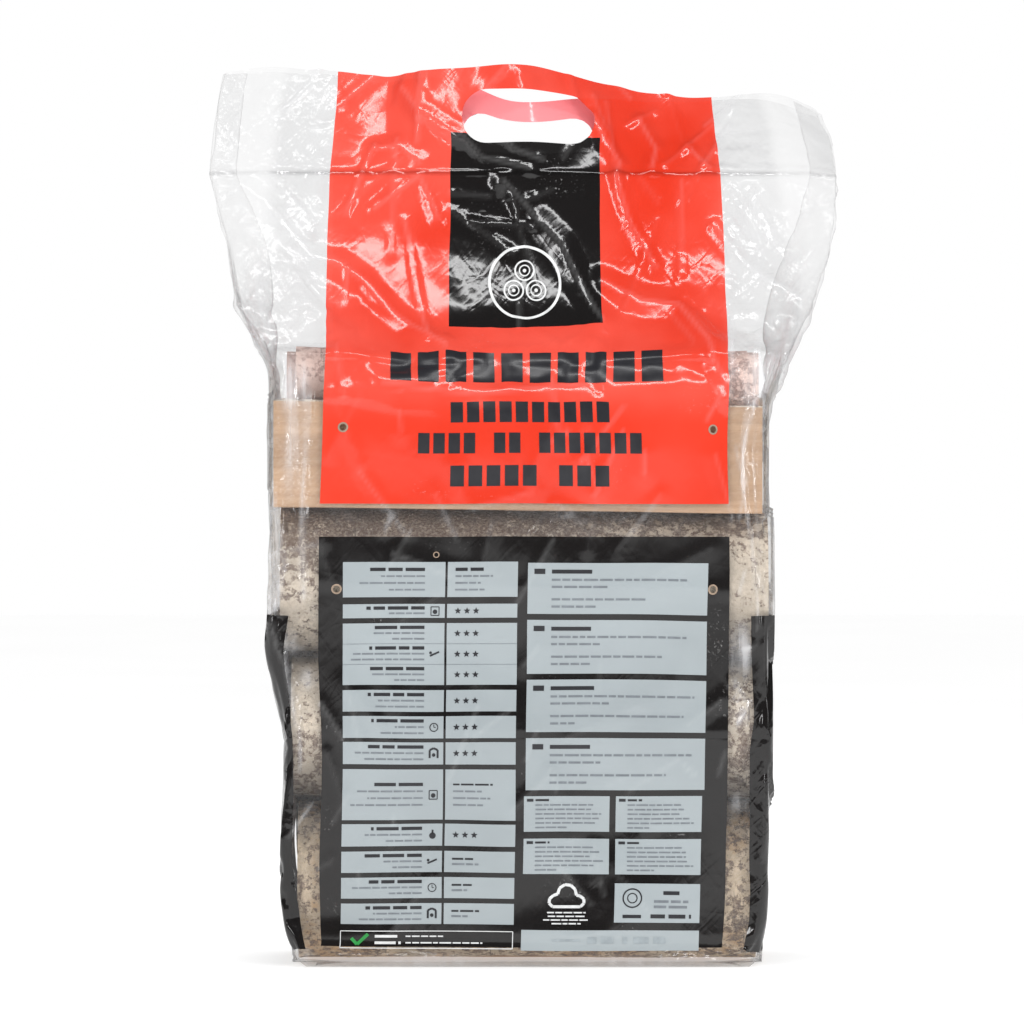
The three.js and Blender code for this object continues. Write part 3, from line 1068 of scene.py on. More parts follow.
def clear_logs(points, u, film):
    """Moves film that would lie in a log out of it: sheets along y and gussets along x.

    At each place the log's section gives its front-most and rear-most y for that z. A
    front or back sheet is kept a gap beyond those, and a gusset a gap beyond the end.
    Both reach a little past the log's edges, so that no cell of film cuts a corner.
    """
    past = CORNER_REACH
    front, rear = np.abs(u) < SHEET_HALF, np.abs(u) > film.round_length / 2 - SHEET_HALF
    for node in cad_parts:
        if node == "film_bag":
            continue
        corners = section_corners(node)[0]
        low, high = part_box(node)
        x, y, z = (points[..., k].copy() for k in range(3))
        z = z - lift_of(node, x)
        nearest, farthest = np.full(z.shape, np.inf), np.full(z.shape, -np.inf)
        for a, b in zip(corners, np.roll(corners, -1, 0)):
            span = b[1] - a[1]
            if abs(span) < 1e-7:
                continue
            t, reach = (z - a[1]) / span, past / abs(span)
            level = (t >= -reach) & (t <= 1 + reach)
            at = np.where(level, a[0] + np.clip(t, 0, 1) * (b[0] - a[0]), np.nan)
            nearest = np.fmin(nearest, at)
            farthest = np.fmax(farthest, at)
        crossed = np.isfinite(nearest)
        over = crossed & (x > low.x - past) & (x < high.x + past)
        room = FILM_GAP + CORNER_ROOM * ((x < low.x + past) | (x > high.x - past))
        y_clear = np.where(over & front, np.minimum(y, nearest - room), y)
        points[..., 1] = np.where(over & rear, np.maximum(y_clear, farthest + room), y_clear)
        beside = crossed & (y > nearest - past) & (y < farthest + past) & ~front & ~rear
        room = FILM_GAP + CORNER_ROOM * ((y < nearest + past) | (y > farthest - past))
        right = beside & (u > 0) & (x < high.x + room)
        left = beside & (u < 0) & (x > low.x - room)
        points[..., 0] = np.where(right, high.x + room, np.where(left, low.x - room, points[..., 0]))
    return points


def cubic_shares(offset):
    """Catmull-Rom shares of the four grid values round a point, for offsets 0 to 1."""
    t = offset
    return (
        -0.5 * t + t**2 - 0.5 * t**3,
        1 - 2.5 * t**2 + 1.5 * t**3,
        0.5 * t + 2 * t**2 - 1.5 * t**3,
        -0.5 * t**2 + 0.5 * t**3,
    )


def film_points(grid, rounds, heights, u, h):
    """Points on the settled film: a cubic surface through its grid, closed in u."""
    rows, columns = grid.shape[:2]
    row = np.clip(np.interp(h, heights, np.arange(rows)), 0, rows - 1.0001)
    column = (u - rounds[0]) / (rounds[1] - rounds[0])
    r0, c0 = np.floor(row).astype(int), np.floor(column).astype(int)
    row_shares, column_shares = cubic_shares(row - r0), cubic_shares(column - c0)
    total = 0
    for i in range(4):
        r = np.clip(r0 + i - 1, 0, rows - 1)
        for j in range(4):
            share = row_shares[i] * column_shares[j]
            total = total + share[..., None] * grid[r, (c0 + j - 1) % columns]
    return total


def sharp_folds(u, h, film):
    """Height of the sharp folds, each a roof along its line, and how near its ridge is."""
    total = film.round_length
    raised, wear_and_glint = np.zeros_like(u), np.zeros_like(u)

    def roof(at_u, a, b, height, width):
        start, along = np.array(a), np.array(b) - np.array(a)
        length = np.hypot(*along)
        t = ((at_u - start[0]) * along[0] + (h - start[1]) * along[1]) / length**2
        near = np.clip(t, 0, 1)
        distance = np.hypot(at_u - start[0] - near * along[0], h - start[1] - near * along[1])
        return height * np.maximum(0, 1 - distance / width), np.maximum(0, 1 - distance / (2.4 * MM))

    for (height, width), *points in FRONT_FOLDS:
        for a, b in zip(points[:-1], points[1:]):
            line, ridge = roof(u, np.array(a) * MM, np.array(b) * MM, height * MM, width * MM)
            raised, wear_and_glint = np.maximum(raised, line), np.maximum(wear_and_glint, ridge)
    chance = np.random.default_rng(12)
    for _ in range(420):
        at = np.array([chance.uniform(-total / 2, total / 2), chance.uniform(0.02, 0.60)])
        turn = chance.normal(0.5 * np.pi, 0.75)
        length = chance.uniform(0.012, 0.075)
        high, width = chance.uniform(0.5, 1.9) * MM, chance.uniform(2.5, 7) * MM
        if at[1] < 0.37:
            high, length, width = 0.3 * high, 0.7 * length, width + 4 * MM
        end = at + length * np.array([np.cos(turn), np.sin(turn)])
        line, ridge = roof(u, at, end, high, width)
        raised, wear_and_glint = raised + line, np.maximum(wear_and_glint, ridge * chance.uniform(0.1, 1.0))
    return raised * ease((h - 0.006) / 0.02), wear_and_glint


# Soft places on the front film, as (u, h, half width, half height, strength), mm.
MILKY = (
    (-151, 350, 9, 62, 0.62), (-152, 376, 15, 28, 1.0), (-160, 255, 5, 50, 0.45), (150, 382, 14, 28, 0.75),
    (147, 335, 4, 50, 0.5), (141, 164, 8, 10, 0.35), (-150, 212, 7, 12, 0.5), (-126, 385, 10, 12, 0.4),
    (158, 300, 4, 70, 0.5), (-157, 60, 4, 60, 0.35), (-150, 8, 14, 9, 0.4), (60, 5, 70, 6, 0.4),
    (-60, 5, 60, 6, 0.4), (141, 206, 13, 26, 0.85), (-140, 188, 8, 10, 0.45), (141, 108, 8, 9, 0.4),
)
# Places of stronger scuffs and painted glints, in the same measures.
RUBBED_AND_GLINTING = (
    (-62, 309, 24, 9, 1.0), (-20, 303, 30, 5, 0.7), (124, 216, 11, 28, 1.0), (129, 172, 6, 20, 0.8),
    (-127, 160, 5, 14, 0.8), (-128, 98, 6, 12, 0.9), (-124, 38, 6, 12, 0.8), (-147, 206, 7, 10, 1.0),
    (140, 168, 9, 22, 1.0), (-50, 274, 30, 4, 0.6), (6, 70, 18, 8, 0.35), (-20, 480, 30, 30, 0.35),
    (18, 165, 12, 10, 0.7), (141, 60, 6, 50, 0.6), (-141, 60, 6, 50, 0.6),
)


def painted(u, h, places):
    """The strongest of several soft oval places, each 1 at its middle and 0 at its edge."""
    field = np.zeros_like(u)
    for across, up, half_u, half_h, strength in places:
        away = np.hypot((u - across * MM) / (half_u * MM), (h - up * MM) / (half_h * MM))
        field = np.maximum(field, strength * ease(1.3 * (1 - away)))
    return field


def looseness(u, h, film):
    """0.2 where the film lies tight over the logs, 1 where it hangs or folds."""
    tight = ease((0.150 - np.abs(u)) / 0.012) * ease((film.shoulder - 0.005 - h) / 0.03)
    behind = film.round_length / 2 - np.abs(u)
    tight = np.maximum(tight, ease((0.150 - behind) / 0.012) * ease((film.shoulder - h) / 0.03))
    return 1 - 0.8 * tight * ease((h - 0.006) / 0.01)


def normals_of(points):
    """Unit normals of a tube's grid, from the steps along its rows and columns."""
    across = np.roll(points, -1, 1) - np.roll(points, 1, 1)
    up = np.gradient(points, axis=0)
    normal = np.cross(across, up)
    return normal / np.maximum(np.linalg.norm(normal, axis=-1), 1e-12)[..., None]


# Print, as (ink, u from, u to, h from, h to) in mm, later ones over earlier ones.
TABLE_ROWS = (
    (240.5, 263.3), (227, 236), (184, 223.6), (166.7, 180.7), (149.5, 163.8), (132.6, 146.9),
    (96.9, 129.4), (80, 94.3), (63, 76.7), (46.2, 59.8), (29.3, 42.9),
)
NOTE_BOXES = ((229.5, 262.6), (191, 225.6), (153.4, 187.2), (116.4, 149.5))
SMALL_BOXES = ((89.7, 112.5), (62.4, 85.2))
NAME_COLUMN, RATING_COLUMN, NOTE_COLUMN = (-118, -52), (-50.5, -5), (1.5, 117.5)
SMALL_COLUMNS = ((0.5, 56), (60, 116))
SIGN_BOX, WEIGHT_BOX = (60, 116, 31.2, 56.6), (0, 116, 11.7, 26)
CARRY = (1.5, 549, 45.5, 17.5)
VENTS = ((-120, 350), (122, 349), (-122, 246), (121, 246))
SMALL_RING = (-58, 268)


def print_layout():
    """All printed areas: the front, the two gussets and the back."""
    areas = [
        ("orange", -PRINT_HALF, PRINT_HALF, 300.5, 600),
        ("black", -51, 51, 419, 538),
        ("black", -PRINT_HALF, PRINT_HALF, 13.5, 279.5),
        ("pale", *SIGN_BOX),
        ("pale", *WEIGHT_BOX),
    ]
    for low, high in TABLE_ROWS:
        areas += [("pale", *NAME_COLUMN, low, high), ("pale", *RATING_COLUMN, low, high)]
    areas += [("pale", *NOTE_COLUMN, low, high) for low, high in NOTE_BOXES]
    areas += [("pale", *column, low, high) for low, high in SMALL_BOXES for column in SMALL_COLUMNS]
    return areas


def back_layout():
    """Printed areas of the back, in the same measures from the back's middle."""
    return [
        ("orange", -131, 131, 286, 600),
        ("black", -51, 51, 419, 538),
        ("black", -PRINT_HALF, PRINT_HALF, 13.5, 150),
        ("pale", -118, 118, 96, 138),
        ("pale", -118, 118, 24, 84),
    ]


GUSSET_PRINT = (152, 12, 229)
# The gusset print's inner edge, as (height, distance round from the front's middle).
LEFT_GUSSET = ((0, 148), (17, 148), (45, 150), (113, 154), (144, 158), (167, 154.5), (229, 150))
RIGHT_GUSSET = (
    (0, 150), (17, 151), (60, 149.5), (114, 148), (142, 148.5), (162, 151.5), (190, 150.5), (229, 149),
)


def ink_of(u, h, film):
    """Which ink lies at each place: an index into the film's material slots."""
    slots = {"clear": 0, "orange": 1, "black": 2, "pale": 3}
    ink = np.zeros(u.shape, np.int32)
    total = film.round_length
    start, low, high = (value * MM for value in GUSSET_PRINT)
    ink[(np.abs(u) > start) & (np.abs(u) < total / 2 - start) & (h > low) & (h < high)] = slots["black"]
    behind = np.where(u < 0, -1, 1) * (total / 2 - np.abs(u))
    for areas, across, there in (
        (print_layout(), u, np.abs(u) < total / 4), (back_layout(), behind, np.abs(u) > total / 4)
    ):
        for name, left, right, bottom, top in areas:
            inside = (across > left * MM) & (across < right * MM) & (h > bottom * MM) & (h < top * MM)
            ink[inside & there] = slots[name]
    return ink


def carry_distance(u, h, film):
    """Signed distance to the carry hole's edge, and the place across its own sheet.

    The hole is a slot with round ends, cut through the front and the back sheet alike.
    """
    total = film.round_length
    across = np.where(np.abs(u) > total / 4, np.sign(u) * (total / 2 - np.abs(u)), u)
    middle, height, half, radius = (value * MM for value in CARRY)
    beyond = np.maximum(np.abs(across - middle) - (half - radius), 0)
    return np.hypot(beyond, h - height) - radius, across


film_sheet = {}


def build_film_sheet(film):
    """The finished film grid: lines through all print edges, settled, folded and pierced."""
    heights, rounds, u, h, points = coarse_film(film)
    settled = fit_reach(settle_film(film, u, h, points))
    tight = (1.25 * (1 - looseness(u, h, film)))[..., None]
    settled = settled + (grid_smooth(settled, 14) - settled) * tight
    total = film.round_length
    u_edges = [-total / 2, total / 2, -GUSSET_PRINT[0] * MM, GUSSET_PRINT[0] * MM]
    u_edges += [side * (total / 2 - GUSSET_PRINT[0] * MM) for side in (-1, 1)]
    h_edges = [0, film.weld, BAG_TOP, GUSSET_PRINT[1] * MM, GUSSET_PRINT[2] * MM]
    for _, left, right, bottom, top in print_layout():
        u_edges += [left * MM, right * MM]
        h_edges += [bottom * MM, min(top * MM, BAG_TOP)]
    for _, left, right, bottom, top in back_layout():
        u_edges += [np.sign(side) * (total / 2 - abs(side) * MM) for side in (left, right)]
        h_edges += [bottom * MM, min(top * MM, BAG_TOP)]
    for across, up in VENTS:
        u_edges += [(across - VENT_HALF) * MM, (across + VENT_HALF) * MM]
        h_edges += [(up - VENT_HALF) * MM, (up + VENT_HALF) * MM]
    fine = film.fine_step
    u_edges += [-FINE_HALF, FINE_HALF]
    h_edges += [film.shoulder]
    u_lines = lines_through(u_edges, lambda at: fine * (1.15 if abs(at) < FINE_HALF else 2.2))[:-1]
    under = np.linspace(-film.under, 0, 14, endpoint=False)
    h_lines = lines_through(h_edges, lambda at: fine * (1.0 if at > film.shoulder else 1.45))
    h_lines = np.concatenate([under, h_lines])
    u, h = np.meshgrid(u_lines, h_lines)
    start = GUSSET_PRINT[0] * MM
    nearness = np.clip(1 - np.abs(np.abs(u) - start) / 0.014, 0, 1)
    inner = np.where(u < 0, profile(h, LEFT_GUSSET), profile(h, RIGHT_GUSSET)) - start
    u = u + np.sign(u) * inner * nearness
    gap, across = carry_distance(u, h, film)
    inside = gap < 0
    near = np.zeros_like(inside)
    for shift_row in (-1, 0, 1):
        for shift_column in (-1, 0, 1):
            near |= np.roll(np.roll(~inside, shift_row, 0), shift_column, 1)
    rim = inside & near
    middle, height, half, radius = (value * MM for value in CARRY)
    beyond = np.clip(across - middle, -(half - radius), half - radius) + middle
    to_u, to_h = across - beyond, h - height
    size = np.maximum(np.hypot(to_u, to_h), 1e-9)
    new_across, new_h = beyond + to_u / size * radius, height + to_h / size * radius
    behind = np.abs(u) > total / 4
    new_u = np.where(behind, np.where(u < 0, -1, 1) * (total / 2 - np.abs(new_across)), new_across)
    u, h = np.where(rim, new_u, u), np.where(rim, new_h, h)
    points = clear_logs(film_points(settled, rounds, heights, u, h), u, film)
    raised, wear_and_glint = sharp_folds(u, h, film)
    weld = np.clip(1.4 - np.abs(h - film.weld) / 0.0016, 0, 1)
    raised = raised + 0.0009 * weld
    points = points + normals_of(points) * raised[..., None]
    points[..., 2] = np.maximum(points[..., 2], 0.0004)
    # The ridge nearness is painted paler on the film: crease whitening and a painted highlight along each
    # ridge.
    film_sheet.update(
        points=points, u=u_lines, h=h_lines, hole=inside & ~rim, rim=rim, crease=wear_and_glint, weld=weld,
        tucked=ease((np.abs(np.abs(u) - total / 4) - 0.075) / -0.01) * ease((h - 0.39) / 0.06),
        loose=looseness(u, h, film), milky=painted(u, h, MILKY), rubbed=painted(u, h, RUBBED_AND_GLINTING),
    )
    return points


def part_header(points, film):
    """Moves the header's sheets apart along y where facing lines come nearer than the gap."""
    total = film.round_length
    u_lines = film_sheet["u"]
    rows = np.flatnonzero(film_sheet["h"] > film.weld - 0.02)
    front = np.flatnonzero(np.abs(u_lines) < FINE_HALF)
    mirrored = np.where(u_lines[front] < 0, -1, 1) * total / 2 - u_lines[front]
    back = np.array([np.abs(u_lines - m).argmin() for m in mirrored])
    for row in rows:
        a, b = points[row, front, 1], points[row, back, 1]
        short = np.maximum(HEADER_GAP - (b - a), 0)
        points[row, front, 1] -= short / 2
        points[row, back, 1] += short / 2


class BIRCH_OT_film_bag(bpy.types.Operator):
    """The welded, printed film bag, settled on the logs as cloth"""

    bl_idname = "birch.film_bag"
    bl_label = "Film bag"

    def execute(self, context):
        film = context.scene.birch_film
        points = build_film_sheet(film)
        part_header(points, film)
        film_sheet["normals"] = normals_of(points)
        rows, columns = points.shape[:2]
        faces = tube_faces(rows, columns)
        u_lines, h_lines = film_sheet["u"], film_sheet["h"]
        middle_u = np.stack([u_lines, np.append(u_lines[1:], film.round_length / 2)]).mean(0)
        middle_h = 0.5 * (h_lines[:-1] + h_lines[1:])
        face_u, face_h = np.meshgrid(middle_u, middle_h)
        ink = ink_of(face_u, face_h, film).ravel()
        hole = film_sheet["hole"].ravel()
        rim = film_sheet["rim"].ravel()
        gone = hole[faces].any(1) | (hole | rim)[faces].all(1)
        for across, up in VENTS:
            aside, above = np.abs(face_u - across * MM), np.abs(face_h - up * MM)
            gone |= ((aside < VENT_HALF * MM) & (above < VENT_HALF * MM)).ravel()
        kept = faces[~gone]
        used = np.unique(kept)
        place = np.full(rows * columns, -1)
        place[used] = np.arange(len(used))
        made = mesh_object("film_carry_bag", points.reshape(-1, 3)[used], place[kept].tolist())
        for key in ("clear", "orange", "black", "pale"):
            made.data.materials.append(materials()[key])
        made.data.polygons.foreach_set("material_index", ink[~gone].astype(np.int32))
        for label in ("crease", "weld", "loose", "milky", "rubbed", "tucked"):
            field = made.data.attributes.new(label, "FLOAT", "POINT")
            field.data.foreach_set("value", film_sheet[label].ravel()[used].astype(np.float32))
        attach(made, "root")
        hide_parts("film_bag")
        return {"FINISHED"}


# --- Small print: plain bars, stars, rings and a tick -----------------------------------


class Marks:
    """Flat marks laid on the film's own cells, a hair proud of it."""

    lift = 0.00018

    def __init__(self):
        self.points, self.faces, self.inks = [], [], []
        self.names = ["dark", "grey", "white", "green", "rim", "faint"]

    def on_film(self, u, h):
        """The place on the film's flat cells at (u, h), lifted along the normal."""
        lines_u, lines_h = film_sheet["u"], film_sheet["h"]
        u, h = np.asarray(u, float), np.asarray(h, float)
        c = np.clip(np.searchsorted(lines_u, u, side="right") - 1, 0, len(lines_u) - 2)
        r = np.clip(np.searchsorted(lines_h, h, side="right") - 1, 0, len(lines_h) - 2)
        fu = ((u - lines_u[c]) / (lines_u[c + 1] - lines_u[c]))[..., None]
        fh = ((h - lines_h[r]) / (lines_h[r + 1] - lines_h[r]))[..., None]
        result = []
        for grid in (film_sheet["points"], film_sheet["normals"]):
            low = grid[r, c] * (1 - fu) + grid[r, c + 1] * fu
            high = grid[r + 1, c] * (1 - fu) + grid[r + 1, c + 1] * fu
            result.append(low * (1 - fh) + high * fh)
        return result[0] + self.lift * result[1]

    def add(self, ink, u, h, faces):
        start = sum(len(p) for p in self.points)
        self.points.append(self.on_film(np.ravel(u), np.ravel(h)))
        self.faces += [[start + int(v) for v in face] for face in faces]
        self.inks += [self.names.index(ink)] * len(faces)

    def bar(self, ink, left, right, bottom, top):
        """A rectangle in mm, divided where it crosses the film's own lines."""
        def cuts(lines, low, high):
            inner = lines[(lines > low + 2e-4) & (lines < high - 2e-4)]
            return np.concatenate([[low], inner, [high]])

        us = cuts(film_sheet["u"], left * MM, right * MM)
        hs = cuts(film_sheet["h"], bottom * MM, top * MM)
        u, h = np.meshgrid(us, hs)
        index = np.arange(u.size).reshape(u.shape)
        quads = np.stack([index[:-1, :-1], index[:-1, 1:], index[1:, 1:], index[1:, :-1]], -1)
        self.add(ink, u, h, quads.reshape(-1, 4).tolist())

    def ring(self, ink, middle, outer, inner, count=36, squash=1.0):
        """A ring round a point in mm; with inner 0 it is a disc."""
        angle = 2 * np.pi * np.arange(count) / count
        radii = [outer, inner] if inner else [outer, outer * 0.5, 0.02]
        u = np.concatenate([(middle[0] + r * np.cos(angle)) * MM for r in radii])
        h = np.concatenate([(middle[1] + squash * r * np.sin(angle)) * MM for r in radii])
        faces = []
        for level in range(len(radii) - 1):
            for k in range(count):
                a, b = level * count + k, level * count + (k + 1) % count
                faces.append([a, b, b + count, a + count])
        self.add(ink, u, h, faces)

    def star(self, ink, middle, size):
        """A five-pointed star: ten corners at two radii in turn, joined to the middle."""
        angle = np.pi / 2 + 2 * np.pi * np.arange(10) / 10
        radius = np.where(np.arange(10) % 2 == 0, size, 0.45 * size)
        u = np.append(middle[0] + radius * np.cos(angle), middle[0]) * MM
        h = np.append(middle[1] + radius * np.sin(angle), middle[1]) * MM
        self.add(ink, u, h, [[k, (k + 1) % 10, 10] for k in range(10)])

    def stroke(self, ink, points, width):
        """A bent line of even width in mm, one four-cornered patch for each stretch."""
        for (ax, ay), (bx, by) in zip(points[:-1], points[1:]):
            length = math.hypot(bx - ax, by - ay)
            nx, ny = -(by - ay) / length * width / 2, (bx - ax) / length * width / 2
            pieces = max(1, round(length / 2))
            t = np.linspace(0, 1, pieces + 1)
            u = np.concatenate([ax + (bx - ax) * t - nx, ax + (bx - ax) * t + nx]) * MM
            h = np.concatenate([ay + (by - ay) * t - ny, ay + (by - ay) * t + ny]) * MM
            n = pieces + 1
            self.add(ink, u, h, [[k, k + 1, n + k + 1, n + k] for k in range(pieces)])

    def words(self, ink, left, right, middle, height, chance, from_right=False, word=(5, 13)):
        """A line of plain bars as long as words, from one side towards the other."""
        at = 0.0
        span = right - left
        while at < span - 1.0:
            length = min(chance.uniform(*word) * height / 1.6, span - at)
            a, b = (right - at - length, right - at) if from_right else (left + at, left + at + length)
            self.bar(ink, a, b, middle - height / 2, middle + height / 2)
            at += length + 0.9 * height


def headline_marks(marks):
    """Four heavy rows under the black block, each a run of plain upright blocks."""
    # Middle, height, left, right and count of each row's blocks, then the blocks left out.
    rows = (
        (391.0, 20.0, -92, 93, 10), (360.5, 13.5, -51, 56, 10), (340.0, 13.5, -72, 76, 15),
        (318.5, 13.5, -51, 55, 9),
    )
    gaps = {2: (4, 7), 3: (5,)}
    for number, (middle, height, left, right, count) in enumerate(rows):
        pitch = (right - left) / count
        for k in range(count):
            if k in gaps.get(number, ()):
                continue
            a = left + k * pitch
            low, high = middle - height / 2, middle + height / 2
            marks.bar("dark", a + 0.09 * pitch, a + 0.84 * pitch, low, high)


def emblem_marks(marks):
    """Three log ends in a ring, on the black block."""
    middle = (0, 446)
    marks.ring("white", middle, 25.0, 23.2, 64, 0.86)
    for across, up in ((-7.6, -4.3), (7.6, -4.3), (0.0, 7.2)):
        place = (middle[0] + across, middle[1] + up)
        marks.ring("white", place, 7.0, 5.9, 36, 0.86)
        marks.ring("white", place, 3.9, 3.1, 28, 0.86)
        marks.ring("white", place, 1.2, 0, 16, 0.86)


def moved(points, middle):
    """Points in mm moved so that their zero lies at the middle."""
    return [(middle[0] + a, middle[1] + b) for a, b in points]


def row_icon(marks, kind, middle):
    """One of a few plain signs: house, box, drop, stick or clock."""
    x, z = middle
    if kind == 0:
        house = [(-2.6, -3), (-2.6, 2.2), (0, 3.4), (2.6, 2.2), (2.6, -3)]
        marks.stroke("dark", moved(house, middle), 1.3)
        marks.ring("dark", (x, z - 1), 1.2, 0, 12)
    elif kind == 1:
        box = [(-2.6, -3), (-2.6, 2.6), (2.6, 2.6), (2.6, -3), (-2.6, -3)]
        marks.stroke("dark", moved(box, middle), 0.6)
        marks.ring("dark", (x, z - 0.6), 1.5, 0, 12)
    elif kind == 2:
        marks.ring("dark", (x, z - 0.6), 2.1, 0, 16)
        marks.stroke("dark", moved([(0, 0.5), (0, 3.2)], middle), 1.2)
    elif kind == 3:
        marks.stroke("dark", moved([(-3.0, -1.2), (3.0, 1.4)], middle), 1.1)
        marks.ring("dark", (x - 2.6, z + 0.8), 0.9, 0, 12)
    else:
        marks.ring("dark", middle, 2.9, 2.3, 24)
        marks.stroke("dark", moved([(0, 1.8), (0, 0), (1.2, 0)], middle), 0.5)


def table_marks(marks, chance):
    """The table's rows: bars for words, a sign, and three stars."""
    name_right, star_left = NAME_COLUMN[1] - 13, RATING_COLUMN[0] + 5
    for number, (low, high) in enumerate(TABLE_ROWS):
        tall = high - low
        blocks = 3 if number == 2 else 1
        for block in range(blocks):
            top = high - tall * block / blocks
            size = tall / blocks
            if block:
                for column in (NAME_COLUMN, RATING_COLUMN):
                    marks.bar("grey", *column, top - 0.12, top + 0.12)
            lines = 1 + max(1, min(3, int((size - 5.5) / 3.2)))
            lead = size / (lines + 0.6) if size < 20 else 4.4
            first = top - 0.75 * lead if size < 20 else top - (size - lead * (lines - 1)) / 2
            for line in range(lines):
                bold = line == 0
                wide = chance.uniform(30, 38) if bold else chance.uniform(18, 50)
                ink, height = ("dark", 2.1) if bold else ("grey", 1.05)
                marks.words(ink, name_right - wide, name_right, first - line * lead, height, chance, True)
            if number in (0, 6):
                for line in range(4):
                    ink = "dark" if line == 0 else "grey"
                    height = 2.1 if line == 0 and number == 0 else 1.1
                    end = star_left + chance.uniform(16, 27)
                    marks.words(ink, star_left, end, first - line * lead, height, chance)
            elif number in (8, 9, 10):
                for line in range(2):
                    ink = "dark" if line == 0 else "grey"
                    end = star_left + chance.uniform(10, 18)
                    marks.words(ink, star_left, end, top - size / 2 + 1.8 - 3.4 * line, 1.2, chance)
            else:
                for k in range(3):
                    marks.star("dark", (star_left + 2 + 5.9 * k, top - size / 2), 2.25)
            if number not in (0, 3) and (number != 2 or block == 1):
                row_icon(marks, (number + block) % 5, (NAME_COLUMN[1] - 6.3, top - size / 2))
    tick = [(-110.5, 19.5), (-106.5, 15.0), (-99.5, 22.6)]
    marks.stroke("green", tick, 2.3)
    left, right, low, high = -118, -5.5, 12.6, 24.6
    frame_line = [(left, low), (right, low), (right, high), (left, high), (left, low)]
    marks.stroke("white", frame_line, 0.55)
    for line, middle in enumerate((21.0, 16.2)):
        marks.words("white", -95, -78, middle, 1.9, chance)
        marks.words("white", -75, -75 + 25 + 25 * line, middle, 1.0, chance)


def note_marks(marks, chance):
    """The note boxes: a dark tab, a bold word and lines of thinner bars."""
    left = NOTE_COLUMN[0]
    text = left + 15.5
    for low, high in NOTE_BOXES:
        marks.bar("dark", left + 4.2, left + 11.2, high - 7.2, high - 3.8)
        heading = text + chance.uniform(24, 29)
        marks.words("dark", text, heading, high - 5.6, 2.5, chance, word=(20, 30))
        lengths = [chance.uniform(*span) for span in ((84, 93), (30, 55), (60, 90), (12, 30))]
        for length, drop in zip(lengths, (10.9, 15.5, 23.6, 28.3)):
            if high - drop >= low + 3:
                marks.words("grey", text, text + length, high - drop, 1.35, chance, word=(4, 11))
    for _, high in SMALL_BOXES:
        for left, _ in SMALL_COLUMNS:
            text = left + 7.6
            marks.bar("dark", left + 2.0, left + 6.2, high - 3.4, high - 1.6)
            heading = text + chance.uniform(9, 13)
            marks.words("dark", text, heading, high - 2.5, 1.3, chance)
            for line in range(6):
                length = chance.uniform(34, 45) if line < 5 else chance.uniform(10, 30)
                marks.words("grey", text, text + length, high - 5.6 - 2.9 * line, 0.95, chance)


def foot_marks(marks, chance):
    """Below the boxes: a cloud outline over four thin rows, and bars in the pale boxes."""
    x, z = 29.0, 46.0
    cloud = [
        (-9, -4.6), (9, -4.6), (11.3, -2.4), (11.2, 0.4), (8.6, 2.4), (6.4, 2.8), (5.4, 6.6), (2.6, 9.2),
        (-1.2, 9.6), (-4.6, 7.4), (-5.8, 3.6), (-8.6, 2.6), (-11.0, 0.6), (-11.3, -2.4), (-9, -4.6),
    ]
    marks.stroke("white", moved(cloud, (x, z)), 1.9)
    for line, wide in enumerate((12.5, 12.0, 15.0, 9.5)):
        marks.words("white", x - wide, x + wide, 37.6 - 2.4 * line, 0.9, chance)
    left, _, low, high = SIGN_BOX
    marks.ring("dark", (left + 11.5, high - 9.5), 6.4, 5.5)
    marks.ring("dark", (left + 11.5, high - 9.5), 3.4, 2.7, 28)
    marks.words("dark", left + 5.5, left + 17.5, low + 4.0, 2.2, chance, word=(10, 18))
    rows = ((high - 6, 2.4, 8), (high - 11.5, 1.7, 17), (high - 15, 1.7, 17), (low + 4.2, 2.6, 20))
    for middle, height, wide in rows:
        centre, ink = left + 37, "dark" if height > 2 else "grey"
        marks.words(ink, centre - wide / 1.5, centre + wide / 1.5, middle, height, chance)
    left, _, low, high = WEIGHT_BOX
    middle = (low + high) / 2
    for a, b, tall in ((20, 38, 1.6), (43, 49, 5), (52, 60, 5), (66, 69, 5), (73, 83, 5), (86, 94, 5)):
        marks.bar("faint", left + a, left + b, middle - tall / 2, middle + tall / 2)


def gusset_marks(marks, film):
    """On each black gusset: upright rows of blocks and a ring with a log end in it."""
    middle = film.round_length / 4 / MM
    for side in (-1, 1):
        for k in range(10):
            low = 84 + 8.6 * k
            if k != 4:
                marks.bar("white", side * middle - 4.5, side * middle + 4.5, low, low + 6.2)
        for radius, inner in ((24, 22.2), (19, 18.2), (8, 6.8), (4, 3.2)):
            marks.ring("white", (side * middle, 46), radius, inner, 56)
        marks.ring("white", (side * middle, 196), 15, 12.6, 48)
        tick = moved([(-6, 0), (-1, -5.5), (7, 6)], (side * middle, 196))
        marks.stroke("white", tick, 2.6)


def vent_marks(marks):
    """Pale heat-sealed rims round the vent holes, and one smaller ring above the table."""
    for middle, size in (*((vent, 1.0) for vent in VENTS), (SMALL_RING, 0.62)):
        marks.ring("rim", middle, 3.3 * size, 2.2 * size, 28)


class BIRCH_OT_print_marks(bpy.types.Operator):
    """Plain bars, stars and signs where the bag's small print is"""

    bl_idname = "birch.print_marks"
    bl_label = "Small print"

    def execute(self, context):
        if not film_sheet:
            self.report({"ERROR"}, "Build the film bag first")
            raise RuntimeError("the film bag has to be built before its small print")
        chance = np.random.default_rng(77)
        marks = Marks()
        headline_marks(marks)
        emblem_marks(marks)
        table_marks(marks, chance)
        note_marks(marks, chance)
        foot_marks(marks, chance)
        gusset_marks(marks, context.scene.birch_film)
        vent_marks(marks)
        made = mesh_object("film_small_print", np.concatenate(marks.points), marks.faces)
        for key in marks.names:
            made.data.materials.append(materials()[key])
        made.data.polygons.foreach_set("material_index", np.array(marks.inks, np.int32))
        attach(made, "root")
        return {"FINISHED"}


# --- Stage ------------------------------------------------------------------------------


